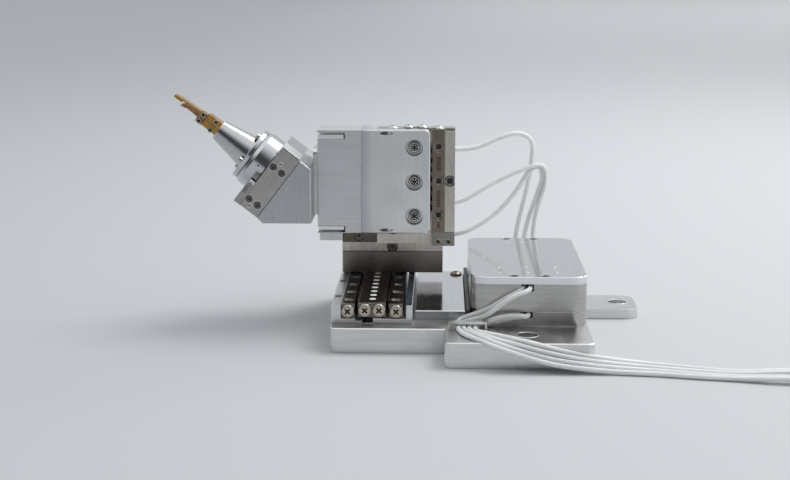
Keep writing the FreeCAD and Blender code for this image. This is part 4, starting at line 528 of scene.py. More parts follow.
@dataclass
class Assembly:
    """A part of the object that dresses its nodes and adds its fine pieces.

    Attributes:
        palette: The materials.
    """

    frame: dict[str, Any]
    palette: Palette

    def paint(self, finish: Finish, *names: str) -> None:
        """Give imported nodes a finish.

        Args:
            finish: The finish.
            *names: The nodes' names.
        """
        for name in names:
            for slot in self.frame["nodes"][name].material_slots:
                slot.material = self.palette.get(finish)
            LOG.info("painted %s with %s", name, finish.value.name)

    def finish_piece(self, name: str, mesh: Mesh, finish: Finish, body: str, smooth: bool = True
                     ) -> bpy.types.Object:
        """Turn a bmesh into a piece that rides on a body.

        Args:
            name: The piece's name.
            mesh: The bmesh, in the row frame; it is freed.
            finish: Its finish.
            body: The body that it rides on.
            smooth: True for smooth shading.

        Returns:
            The new object.
        """
        data = bpy.data.meshes.new(name)
        for face in mesh.faces:
            face.smooth = smooth
        mesh.to_mesh(data)
        mesh.free()
        piece = bpy.data.objects.new(name, data)
        show(piece)
        data.materials.append(self.palette.get(finish))
        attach(piece, body)
        LOG.info("made %s on %s", name, body)
        return piece

    def face(self, body: str, places: list[Matrix], *marks: tuple[str, Ring | Disc | Cross, Finish]) -> None:
        """Set marks on every place, such as a screw's face, ring and cross, with one piece for each mark.

        Args:
            body: The body that they ride on.
            places: The matrices of the places.
            *marks: Each piece's name, mark and finish.
        """
        for name, mark, finish in marks:
            made = bmesh.new()
            for place in places:
                add_mesh(made, mark.shape(place))
            self.finish_piece(name, made, finish, body, mark.smooth)

    def add_trims(self, trims: tuple[Trim, ...], stand: Matrix | None = None) -> None:
        """Make a table of trims, in the row frame or in the frame that a matrix gives."""
        for trim in trims:
            made = bmesh.new()
            for low, high in trim.spans:
                add_mesh(made, block(low, high, trim.round_by, stand))
            self.finish_piece(trim.name, made, trim.finish, trim.body, False)


def strokes(places: list[Pair], width: float, height: float, depth: float,
            stand: Matrix) -> Mesh:
    """Make a row of small engraved strokes with their edges broken.

    Args:
        places: The strokes' centres, in the plane of the face.
        width: Each stroke's width.
        height: Each stroke's height.
        depth: Each stroke's thickness.
        stand: The matrix that sets the face's plane in the row frame.

    Returns:
        A bmesh of all strokes.
    """
    made = bmesh.new()
    for across, up in places:
        box = bmesh.ops.create_cube(made, size=MM)
        bmesh.ops.scale(made, vec=(width, height, depth), verts=box["verts"])
        bmesh.ops.translate(made, vec=(across * MM, up * MM, 0), verts=box["verts"])
    bmesh.ops.bevel(made, geom=made.edges[:], offset=min(width, depth) * 0.25 * MM, segments=1, profile=0.5,
                    affect="EDGES", material=-1)
    bmesh.ops.transform(made, matrix=stand, verts=made.verts)
    return made


def turned(profile: tuple[Pair, ...], stand: Matrix, steps: int) -> Mesh:
    """Spin a profile of radii and heights about an axis.

    Args:
        profile: Radii and heights.
        stand: The matrix that sets the axis in the row frame.
        steps: The count of steps round the axis.

    Returns:
        The closed bmesh.
    """
    made = bmesh.new()
    corners = [made.verts.new((radius * MM, 0, height * MM)) for radius, height in profile]
    edges = [made.edges.new(pair) for pair in zip(corners, corners[1:])]
    bmesh.ops.spin(made, geom=corners + edges, cent=(0, 0, 0), axis=(0, 0, 1), angle=math.tau, steps=steps,
                   use_merge=True)
    bmesh.ops.remove_doubles(made, verts=made.verts, dist=1e-7)
    bmesh.ops.recalc_face_normals(made, faces=made.faces)
    bmesh.ops.transform(made, matrix=stand, verts=made.verts)
    return made


@dataclass(frozen=True)
class Ring:
    """A low ring with a rounded top, such as the bright rim of a hole.

    Attributes:
        inner: The inner radius.
        outer: The outer radius.
        proud: How far it stands out.
        sunk: How far it reaches in.
        steps: The count of steps round the axis.
        smooth: True for smooth shading.
    """

    inner: float
    outer: float
    proud: float
    sunk: float = 0.05
    steps: int = 32
    smooth: bool = True

    def shape(self, place: Matrix) -> Mesh:
        """Return the ring at a place."""
        wide = self.outer - self.inner
        return turned((
            (self.inner, -self.sunk), (self.inner, 0.0), (self.inner + wide * 0.55, self.proud),
            (self.outer - wide * 0.12, self.proud * 0.8), (self.outer, 0.0), (self.outer, -self.sunk),
            (self.inner, -self.sunk)), place, self.steps)


@dataclass(frozen=True)
class Disc:
    """A low round disc with a broken rim, domed where asked.

    Attributes:
        radius: The radius.
        proud: The height of the rim.
        dome: How much the middle rises over the rim.
        steps: The count of steps round the axis.
        sunk: How far it reaches in.
        smooth: True for smooth shading.
    """

    radius: float
    proud: float
    dome: float = 0.0
    steps: int = 28
    sunk: float = 0.05
    smooth: bool = True

    def shape(self, place: Matrix) -> Mesh:
        """Return the disc at a place."""
        rises = ((0.0, 1.0, 1.0), (0.45, 1.0, 0.8), (0.8, 1.0, 0.3), (0.94, 1.0, 0.0), (1.0, 0.6, 0.0))
        top = tuple((self.radius * out, self.proud * rim + self.dome * swell) for out, rim, swell in rises)
        return turned((*top, (self.radius, -self.sunk), (0.0, -self.sunk)), place, self.steps)


@dataclass(frozen=True)
class Cross:
    """The cross of a screw's recess, as a thin dark inlay with a round middle that stands in as painted shade.

    Attributes:
        arm: The length of an arm.
        half: Half its width.
        proud: The height of the inlay's face.
        thick: The inlay's thickness.
        smooth: True for smooth shading.
    """

    arm: float
    half: float
    proud: float
    thick: float = 0.1
    smooth: bool = False

    def shape(self, place: Matrix) -> Mesh:
        """Return the cross at a place."""
        made = bmesh.new()
        middle = self.proud - self.thick / 2
        for turn in (45.0, 135.0):
            box = bmesh.ops.create_cube(made, size=MM)["verts"]
            bmesh.ops.scale(made, vec=(self.arm * 2, self.half * 2, self.thick), verts=box)
            bmesh.ops.translate(made, vec=(0, 0, middle * MM), verts=box)
            bmesh.ops.transform(made, matrix=place @ Matrix.Rotation(math.radians(turn), 4, "Z"), verts=box)
        # The middle stands 5 micrometres over the arms, so that no two faces share a plane.
        hub = bmesh.ops.create_cone(made, cap_ends=True, segments=12, radius1=self.half * 2 * MM,
                                    radius2=self.half * 1.9 * MM, depth=self.thick * MM)["verts"]
        bmesh.ops.transform(made, matrix=place @ Matrix.Translation((0, 0, (middle + 0.005) * MM)), verts=hub)
        return made


@dataclass(frozen=True)
class Trim:
    """One piece of small blocks with rounded edges.

    Attributes:
        name: The piece's name.
        finish: Its finish.
        body: The body that it rides on.
        round_by: The radius of its edges.
        spans: The lowest and highest corner of each block.
    """

    name: str
    finish: Finish
    body: str
    round_by: float
    spans: tuple[tuple[Point, Point], ...]


def block(low: Point, high: Point, round_by: float,
          stand: Matrix | None = None) -> Mesh:
    """Make a block with rounded edges.

    Args:
        low: Its lowest corner.
        high: Its highest corner.
        round_by: The radius of its edges.
        stand: A matrix that sets it in another frame.

    Returns:
        The bmesh.
    """
    made = bmesh.new()
    bmesh.ops.create_cube(made, size=1.0)
    size = [(b - a) * MM for a, b in zip(low, high)]
    centre = [(a + b) * 0.5 * MM for a, b in zip(low, high)]
    bmesh.ops.scale(made, vec=size, verts=made.verts)
    bmesh.ops.translate(made, vec=centre, verts=made.verts)
    bmesh.ops.bevel(made, geom=made.edges[:], offset=round_by * MM, segments=2, profile=0.5, affect="EDGES",
                    material=-1)
    if stand is not None:
        bmesh.ops.transform(made, matrix=stand, verts=made.verts)
    return made


def add_mesh(target: Mesh, extra: Mesh) -> None:
    """Add a bmesh to another and free it."""
    carrier = bpy.data.meshes.new("carrier")
    extra.to_mesh(carrier)
    extra.free()
    target.from_mesh(carrier)
    bpy.data.meshes.remove(carrier)


def standing(place: Point, outward: Point) -> Matrix:
    """Return the matrix that moves the Z axis to a place in millimetres, pointing outward."""
    turn = Vector(outward).to_track_quat("Z", "Y").to_matrix().to_4x4()
    return Matrix.Translation(Vector(place) * MM) @ turn


@dataclass
class BaseUnit(Assembly):
    """Base plate, lowest slide, mirror plate and lead clamp."""

    rail_rows: Pair = (-48.64, -35.36)
    carriage_rows: Pair = (-43.95, -40.05)
    end_planes: tuple[Pair, ...] = ((10.8, -1), (72.6, 1))
    bed_level: float = 10.3
    carriage_level: float = 10.6
    hole_rows: tuple[float, ...] = (16.7, 26.7, 36.7, 46.7, 56.7, 66.7)
    hole_level: float = 12.1
    plug_row: float = -42.0
    plug_level: float = 12.15
    plug_pitch: float = 5.0
    plug_count: int = 11
    index_dot: Point = (-32.3, 49.7, 12.42)
    mounts: tuple[Point, ...] = ((0.0, 0.0, 6.9), (30.2, 58.5, 2.83))
    mount_radius: float = 2.75
    rim_width: float = 0.3
    trims: tuple[Trim, ...] = (
        Trim("scale_tiles", Finish.SCALE_GLASS, "base", 0.06, (
            ((-32.75, 12.2, 12.1), (-31.0, 21.2, 12.42)), ((-32.75, 22.3, 12.1), (-31.0, 41.0, 12.42)),
            ((-32.75, 42.2, 12.1), (-31.0, 64.6, 12.42)))),
        Trim("bed_slot_shim", Finish.MILLED, "base", 0.05, (((-41.7, 11.02, 7.15), (-39.25, 11.2, 8.5)),)),
        Trim("bed_slot_stop", Finish.BLACK_ANODISED_AND_SHADE, "base", 0.05, (((-46.6, 10.98, 7.75), (-44.4, 11.12, 8.45)),)),
        # Painted highlights: thin near-white strips on the clamp's front edges.
        Trim("clamp_edges", Finish.BRIGHT_CUT_HIGHLIGHT, "base", 0.03, (
            ((-21.0, 3.95, 9.1), (-10.75, 4.05, 9.28)), ((-21.02, 3.95, 6.92), (-20.86, 4.05, 9.2)),
            ((-10.89, 3.95, 6.92), (-10.73, 4.05, 9.2)))),
        # Painted shade: a black strip fills the shadowed gap between plate and box.
        Trim("spacer_shade_strip", Finish.BLACK_ANODISED_AND_SHADE, "base", 0.12, (((-16.22, 10.0, 6.9), (-15.18, 68.0, 11.2)),)),
    )

    def face_ends(self, name: str, rows: Pair, level: float, body: str) -> None:
        """Face the pan heads at both ends of the rails.

        Args:
            name: The start of the pieces' names.
            rows: Where the screws stand along X.
            level: Their height.
            body: The body that they ride on.
        """
        places = [standing((row, y, level), (0, way, 0)) for row in rows for y, way in self.end_planes]
        self.face(body, places, (f"{name}_faces", Disc(radius=1.7, proud=0.05), Finish.PAN_HEAD),
                  (f"{name}_rings", Ring(inner=1.36, outer=1.52, proud=0.11, sunk=0.02), Finish.DARK_SCREW_AND_SHADE),
                  (f"{name}_crosses", Cross(arm=0.98, half=0.26, proud=0.075), Finish.ENGRAVING_AND_RECESS_SHADE))

    def dress(self) -> None:
        """Give the base's pieces their finishes and add rims, screw faces and the scale's tiles."""
        self.paint(Finish.MILLED, "base_plate", "guide_bed", "cable_clamp")
        self.paint(Finish.LAPPED, "side_plate")
        self.paint(Finish.GROUND_LONG, "y_outer_rail_left", "y_outer_rail_right", "y_centre_rail")
        self.paint(Finish.DARK_SCREW_AND_SHADE, "base_rail_screws")
        self.paint(Finish.FASTENER, "base_bottom_screws", "base_end_screws")
        self.paint(Finish.SCALE_GLASS, "encoder_scale")
        self.paint(Finish.FIRED_CERAMIC, "y_drive", "x_drive", "z_drive")
        self.paint(Finish.ROLLED_BRASS, "y_cage", "x_cage", "z_cage")
        self.add_trims(self.trims)
        # Painted glint: a small bright dot on the scale.
        self.face("base", [standing(self.index_dot, UP)],
                  ("scale_index_dot", Disc(radius=0.42, proud=0.05, dome=0.06), Finish.BRIGHT_CUT_HIGHLIGHT))
        self.face_ends("bed_end_screw", self.rail_rows, self.bed_level, "base")
        self.face_ends("carriage_end_screw", self.carriage_rows, self.carriage_level, "y_carriage")
        # Painted highlights: pale rings on the rail screws stand for the lit rims of their counterbores.
        heads = [standing((x, y, self.hole_level), UP) for x in self.rail_rows for y in self.hole_rows]
        self.face("base", heads, ("bed_screw_highlight_rings", Ring(inner=0.95, outer=1.12, proud=0.06), Finish.PAN_HEAD))
        # Painted glints: pale discs in the bores stand for the bright reflections seen there.
        plugs = [standing((self.plug_row, self.hole_rows[0] + self.plug_pitch * step, self.plug_level), UP)
                 for step in range(self.plug_count)]
        self.face("y_carriage", plugs, ("centre_rail_glint_plugs", Disc(radius=0.97, proud=0.5), Finish.PALE_GLINT))
        # Painted highlights: bright rims round the mounting holes.
        rim = Ring(inner=self.mount_radius, outer=self.mount_radius + self.rim_width, proud=0.07, steps=48)
        self.face("base", [standing(place, UP) for place in self.mounts], ("mount_rims", rim, Finish.BRIGHT_CUT_HIGHLIGHT))


@dataclass
class ControlBox(Assembly):
    """Electronics box with its polished lid and board."""

    grommet_bore: float = 0.66
    grommet_radius: float = 1.25
    grommet_height: float = 0.7
    exits: tuple[tuple[str, Point, Point, str], ...] = (
        ("box_grommet_1", (-0.9, 68.5, 14.2), BACK, "base"), ("box_grommet_2", (5.4, 68.5, 14.2), BACK, "base"),
        ("box_grommet_3", (2.1, 68.5, 14.2), BACK, "base"),
        ("carriage_grommet_1", (-31.0, 63.7, 41.7), UP, "y_carriage"),
        ("carriage_grommet_2", (-22.7, 63.7, 32.0), RIGHT, "y_carriage"),
        ("carriage_grommet_3", (-22.7, 63.7, 22.4), RIGHT, "y_carriage"))
    pin_level: float = 20.46
    pins: tuple[Pair, ...] = (
        (-2.6, 60.9), (1.3, 61.1), (-10.6, 38.5), (-7.0, 22.6), (-7.0, 15.7), (0.8, 23.5), (0.8, 16.0),
        (8.7, 23.4), (8.75, 15.6))
    trims: tuple[Trim, ...] = (
        # Painted highlights: thin near-white strips along the box's seams.
        Trim("box_seams", Finish.BRIGHT_CUT_HIGHLIGHT, "base", 0.02, (
            ((-11.0, 9.44, 6.94), (13.2, 9.52, 7.06)), ((2.4, 9.44, 10.74), (13.2, 9.52, 10.86)))),
    )

    def dress(self) -> None:
        """Give the box's pieces their finishes and add seams, lid pins and the leads' silicone grommets."""
        self.paint(Finish.BRUSHED_BOX, "box_base", "box_body")
        self.paint(Finish.LAPPED, "box_lid")
        self.paint(Finish.SOLDER_MASK, "circuit_board")
        self.paint(Finish.DARK_SCREW_AND_SHADE, "cover_screws")
        self.add_trims(self.trims)
        # The lid pins are partly a painted highlight: small near-white domes.
        pins = [standing((x, y, self.pin_level), UP) for x, y in self.pins]
        pin = Disc(radius=0.4, proud=0.02, dome=0.08, steps=20)
        self.face("base", pins, ("lid_pins", pin, Finish.BRIGHT_CUT_HIGHLIGHT))
        bore, wide, tall = self.grommet_bore, self.grommet_radius, self.grommet_height
        profile = ((bore, 0.0), (wide, 0.0), (wide, tall * 0.5), (wide * 0.9, tall * 0.85), (wide * 0.72, tall),
                   (bore, tall), (bore, 0.0))
        for name, place, outward, body in self.exits:
            self.finish_piece(name, turned(profile, standing(place, outward), 32), Finish.SILICONE, body)


@dataclass
class SlideStack(Assembly):
    """The cross slide, the upright slide and the head block that they carry."""

    rail_face: float = 44.1
    rail_middle: float = -24.01
    # Each row of marks: its low end, its high end and the marks' width.
    mark_spans: tuple[tuple[float, ...], ...] = ((44.8, 48.4, 1.3), (34.1, 38.9, 1.05), (27.9, 29.3, 0.8))
    mark_step: float = 0.46
    mark_height: float = 0.24
    mark_relief: float = 0.03
    plate_face: float = 39.5
    plate_row: float = -31.0
    plate_screws: tuple[float, ...] = (31.9, 41.9, 51.9)
    plate_screw_depth: float = 0.6
    star_points: int = 6
    star_radius: float = 0.7
    star_level: float = 0.1
    star_ball: float = 0.22
    screw_plane: float = 44.3
    upright_screws: tuple[Pair, ...] = ((-24.01, 31.6), (-24.01, 41.6), (-24.01, 51.6), (-20.7, 41.6))
    stop_screws: tuple[Pair, ...] = ((-24.1, 23.6), (-21.1, 23.6))
    lens_row: float = -39.75
    lens_levels: Pair = (27.85, 55.95)
    lens_depth: float = 0.46
    lens_radii: Pair = (1.3, 0.4)
    trims: tuple[Trim, ...] = (
        # Painted highlight: a near-white strip along the joint of block and plate.
        Trim("joint_highlight_bead", Finish.BRIGHT_CUT_HIGHLIGHT, "z_table", 0.04, (((-46.5, 39.44, 27.2), (-46.28, 39.54, 56.6)),)),
    )

    def face_plate_screws(self) -> None:
        """Face the three cap screws of the table plate: a dark head and star-shaped socket as painted shade, with a
        bright ring and bright star points as painted highlight.
        """
        seats, edges = ([standing((self.plate_row, self.plate_face + depth, level), FRONT)
                         for level in self.plate_screws] for depth in (self.plate_screw_depth, 0.0))
        self.face("z_table", seats, ("plate_screw_heads", Disc(radius=1.68, proud=0.06), Finish.DARK_SCREW_AND_SHADE),
                  ("plate_screw_rings", Ring(inner=1.12, outer=1.42, proud=0.2), Finish.BRIGHT_CUT_HIGHLIGHT),
                  ("plate_screw_sockets", Disc(radius=1.1, proud=0.09), Finish.ENGRAVING_AND_RECESS_SHADE))
        star = bmesh.new()
        shift = Matrix.Translation((self.star_radius * MM, 0, self.star_level * MM))
        for seat in seats:
            for step in range(self.star_points):
                turn = Matrix.Rotation(math.tau * step / self.star_points, 4, "Z") @ shift
                ball = bmesh.ops.create_uvsphere(star, u_segments=10, v_segments=6, radius=self.star_ball * MM)
                bmesh.ops.transform(star, matrix=seat @ turn, verts=ball["verts"])
        self.finish_piece("plate_screw_stars", star, Finish.BRIGHT_CUT_HIGHLIGHT, "z_table")
        self.face("z_table", edges,
                  ("plate_bore_rims", Ring(inner=2.45, outer=2.68, proud=0.05), Finish.BRIGHT_CUT_HIGHLIGHT))

    def face_rail_screws(self) -> None:
        """Face the dark screws of the upright slide and its stop block: pale rings, and dark crosses and cups as
        painted shade.
        """
        seats, stops = ([standing((x, self.screw_plane, z), FRONT) for x, z in places]
                        for places in (self.upright_screws, self.stop_screws))
        self.face("x_table", seats,
                  ("upright_screw_rings", Ring(inner=1.12, outer=1.36, proud=0.08), Finish.PAN_HEAD),
                  ("upright_screw_crosses", Cross(arm=0.85, half=0.24, proud=0.03), Finish.ENGRAVING_AND_RECESS_SHADE))
        self.face("x_table", stops, ("stop_screw_rings", Ring(inner=0.6, outer=0.9, proud=0.12), Finish.PAN_HEAD),
                  ("stop_screw_cups", Disc(radius=0.6, proud=0.03), Finish.DARK_SCREW_AND_SHADE),
                  ("stop_screw_crosses", Cross(arm=0.46, half=0.13, proud=0.06), Finish.ENGRAVING_AND_RECESS_SHADE))

    def mark_rail(self) -> None:
        """Engrave three plain rows of strokes in the upright rail."""
        stand = standing((self.rail_middle, self.rail_face, 0), FRONT)
        marks = bmesh.new()
        for low, high, width in self.mark_spans:
            count = round((high - low) / self.mark_step) + 1
            places = [(0.0, low + step * self.mark_step) for step in range(count)]
            add_mesh(marks, strokes(places, width, self.mark_height, self.mark_relief, stand))
        self.finish_piece("rail_marks", marks, Finish.ENGRAVING_AND_RECESS_SHADE, "x_table", False)

    def shade_lenses(self) -> None:
        """Lay dark discs on the floors of the two lens-shaped recesses of the table plate as painted shade."""
        shades = bmesh.new()
        for level in self.lens_levels:
            dish = bmesh.ops.create_circle(shades, cap_ends=True, segments=28, radius=MM)["verts"]
            bmesh.ops.scale(shades, vec=(*self.lens_radii, 1.0), verts=dish)
            stand = standing((self.lens_row, self.plate_face + self.lens_depth, level), FRONT)
            bmesh.ops.transform(shades, matrix=stand, verts=dish)
        self.finish_piece("lens_painted_shades", shades, Finish.DARK_SCREW_AND_SHADE, "z_table", False)

    def dress(self) -> None:
        """Give the slides their finishes, face their screws and engrave the rail."""
        self.paint(Finish.MIRROR, "carriage_bracket")
        self.paint(Finish.PLATED, "x_channel", "z_channel")
        self.paint(Finish.GROUND_CROSS, "x_outer_rails", "x_centre_rail")
        self.paint(Finish.GROUND_UPRIGHT, "z_outer_rail_left", "z_outer_rail_right", "z_centre_rail")
        self.paint(Finish.FASTENER, "carriage_end_screws", "table_end_screws", "head_end_screws")
        self.paint(Finish.DARK_SCREW_AND_SHADE, "carriage_rail_screws", "table_rail_screws", "table_plate_screws")
        self.paint(Finish.GROUND_BLOCK, "z_stop_block")
        self.paint(Finish.MILLED, "adapter_plate")
        self.paint(Finish.BRUSHED_UP, "z_table_plate")
        self.paint(Finish.BRUSHED_ACROSS, "head_block")
        self.paint(Finish.LAPPED, "clip_bars")
        self.paint(Finish.BRUSHED_FINE, "wedge")
        self.face_plate_screws()
        self.face_rail_screws()
        self.mark_rail()
        self.shade_lenses()
        self.add_trims(self.trims)


@dataclass
class TiltedHead(Assembly):
    """Rotary head with its index cover, rotor and gripper."""

    side: float = 14.2
    # Each row of ticks: its name, first tick, pitch, count, and the ticks' width, height and thickness.
    tick_rows: tuple[tuple[str, Pair, float, int, tuple[float, ...]], ...] = (
        ("index_ticks", (-7.4, 7.35), 0.52, 5, (0.22, 1.1, 0.04)),
        ("index_stop_lines", (-4.55, 7.2), 0.4, 3, (0.14, 0.9, 0.05)))
    dot_place: Point = (0, -8.7, 8.6)
    dot_profile: tuple[Pair, ...] = ((0, 0.02), (0.22, 0.02), (0.28, -0.02), (0.28, -0.3), (0, -0.3))
    house_screws: tuple[Pair, ...] = ((3.36, 4.94), (3.36, 1.98), (-8.16, 4.94), (-8.16, 1.98))
    house_pins: tuple[Pair, ...] = ((5.21, 3.6), (-9.7, 3.6))
    grip_screws: tuple[Point, ...] = (
        (-92.15, 43.55, 60.65), (-93.49, 43.55, 58.9), (-88.53, 43.7, 58.55), (-90.31, 43.7, 56.24))
    trims: tuple[Trim, ...] = (
        # Painted highlights: the index stop and the housing's chamfer strip are made in near-white metal.
        Trim("index_stop", Finish.BRIGHT_CUT_HIGHLIGHT, "z_table", 0.12, (((-4.9, -14.2, 6.2), (-3.5, -12.7, 7.95)),)),
        Trim("housing_chamfer", Finish.BRIGHT_CUT_HIGHLIGHT, "z_table", 0.04, (((9.5, -14.15, 0.1), (9.62, -3.8, 6.2)),)),
        Trim("housing_seam", Finish.ENGRAVING_AND_RECESS_SHADE, "z_table", 0.02, (((-11.0, -14.23, 6.08), (-4.7, -14.1, 6.2)),)),
    )

    def lean(self) -> Matrix:
        """Return the matrix of the head's own frame."""
        return Matrix.Translation(Vector(HEAD_PLACE)) @ Matrix.Rotation(HEAD_LEAN, 4, "Y")

    def local(self, place: Point, outward: Point) -> Matrix:
        """Return the matrix of a place and a way out in the head's own frame."""
        return self.lean() @ standing(place, outward)

    def on_sides(self, places: tuple[Pair, ...]) -> list[Matrix]:
        """Return the matrices of places on the housing's front and back sides."""
        return [self.local((x, y, z), (0, way, 0)) for y, way in ((-self.side, -1), (self.side, 1))
                for x, z in places]

    def dress(self) -> None:
        """Give the head's pieces their finishes and add its index marks, rims and screw faces."""
        self.paint(Finish.BRUSHED_LEANING, "rotary_housing", "index_cover")
        self.paint(Finish.DARK_SCREW_AND_SHADE, "housing_screws")
        self.paint(Finish.FASTENER, "tool_screws")
        self.paint(Finish.TURNED, "rotor_ring", "tool_flange")
        self.paint(Finish.TURNED_CONE, "nose_cone")
        self.paint(Finish.GILT, "gripper_body", "upper_jaw")
        self.paint(Finish.COPPER, "lower_jaw")
        self.add_trims(self.trims, self.lean())
        stand = self.local((0, -self.side, 0), FRONT)
        for name, (across, up), pitch, count, size in self.tick_rows:
            row = strokes([(across + step * pitch, up) for step in range(count)], *size, stand)
            self.finish_piece(name, row, Finish.ENGRAVING_AND_RECESS_SHADE, "z_table", False)
        dot = turned(self.dot_profile, self.local(self.dot_place, FRONT), 20)
        self.finish_piece("index_dot", dot, Finish.ENGRAVING_AND_RECESS_SHADE, "rotor", False)
        # Painted highlights: bright rims round the housing's bores and pins.
        self.face("z_table", self.on_sides(self.house_screws),
                  ("house_bore_rims", Ring(inner=1.1, outer=1.3, proud=0.06), Finish.BRIGHT_CUT_HIGHLIGHT))
        self.face("z_table", self.on_sides(self.house_pins),
                  ("house_pin_rims", Ring(inner=0.5, outer=0.72, proud=0.06), Finish.BRIGHT_CUT_HIGHLIGHT),
                  ("house_pin_ends", Disc(radius=0.5, proud=0.01), Finish.GROUND_BLOCK))
        # Pale rims as painted highlight and dark cups as painted shade on the gripper's screws.
        self.face("rotor", [standing(place, FRONT) for place in self.grip_screws],
                  ("grip_screw_rims", Ring(inner=0.46, outer=0.7, proud=0.1), Finish.PAN_HEAD),
                  ("grip_screw_cups", Disc(radius=0.46, proud=0.02), Finish.ENGRAVING_AND_RECESS_SHADE))


@dataclass(frozen=True)
class Cable:
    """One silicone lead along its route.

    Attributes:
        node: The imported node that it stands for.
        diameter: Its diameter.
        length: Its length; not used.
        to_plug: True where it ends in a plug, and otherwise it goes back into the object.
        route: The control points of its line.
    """

    node: str
    diameter: float
    length: float
    to_plug: bool
    route: tuple[Point, ...]


@dataclass
class Wiring(Assembly):
    """The loops between carriage and box, and the leads that run out to their plugs."""

    cables: tuple[Cable, ...] = field(default_factory=tuple)

    def line(self, cable: Cable, bevel: float) -> bpy.types.Object:
        """Make the cable's smooth line.

        Args:
            cable: The cable.
            bevel: The radius of its section, in metres, or zero for a bare line.

        Returns:
            The curve object.
        """
        data = bpy.data.curves.new(cable.node + "_line", "CURVE")
        data.dimensions = "3D"
        data.resolution_u = 10
        data.bevel_depth = bevel
        data.bevel_resolution = 5
        data.use_fill_caps = bevel > 0
        spline = data.splines.new("NURBS")
        spline.points.add(len(cable.route) - 1)
        for point, place in zip(spline.points, cable.route):
            point.co = (*(value * MM for value in place), 1.0)
        spline.order_u = 3
        spline.use_endpoint_u = True
        made = bpy.data.objects.new(cable.node + "_line", data)
        show(made)
        return made

    def lay_lead(self, cable: Cable, plugs: bpy.types.Object) -> None:
        """Lay a lead that rides on the base and ends in its plug.

        Args:
            cable: The cable.
            plugs: The plugs' node; not used.
        """
        piece = self.line(cable, cable.diameter * 0.5 * MM)
        piece.name = cable.node.replace("cable", "jacket")
        piece.data.materials.append(self.palette.get(Finish.SILICONE))
        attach(piece, "base")
        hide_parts(cable.node)
        LOG.info("laid %s", piece.name)

    def hang_loop(self, cable: Cable) -> None:
        """Hang a fixed loop that curves between the carriage and the box.

        Args:
            cable: The cable.
        """
        bare = self.line(cable, 0.0)
        path_mesh = bpy.data.meshes.new_from_object(bare)
        bpy.data.objects.remove(bare)
        full = self.line(cable, cable.diameter * 0.5 * MM)
        mesh = bpy.data.meshes.new_from_object(full)
        bpy.data.objects.remove(full)
        piece = bpy.data.objects.new(cable.node.replace("cable", "jacket"), mesh)
        show(piece)
        mesh.materials.clear()
        mesh.materials.append(self.palette.get(Finish.SILICONE))
        for polygon in mesh.polygons:
            polygon.use_smooth = True
        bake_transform(piece)
        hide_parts(cable.node)
        LOG.info("hung %s", piece.name)

    def dress(self) -> None:
        """Lay every cable and finish the plugs."""
        self.paint(Finish.NYLON, "lead_plugs")
        plugs = self.frame["nodes"]["lead_plugs"]
        for cable in self.cables:
            if cable.to_plug:
                self.lay_lead(cable, plugs)
            else:
                self.hang_loop(cable)


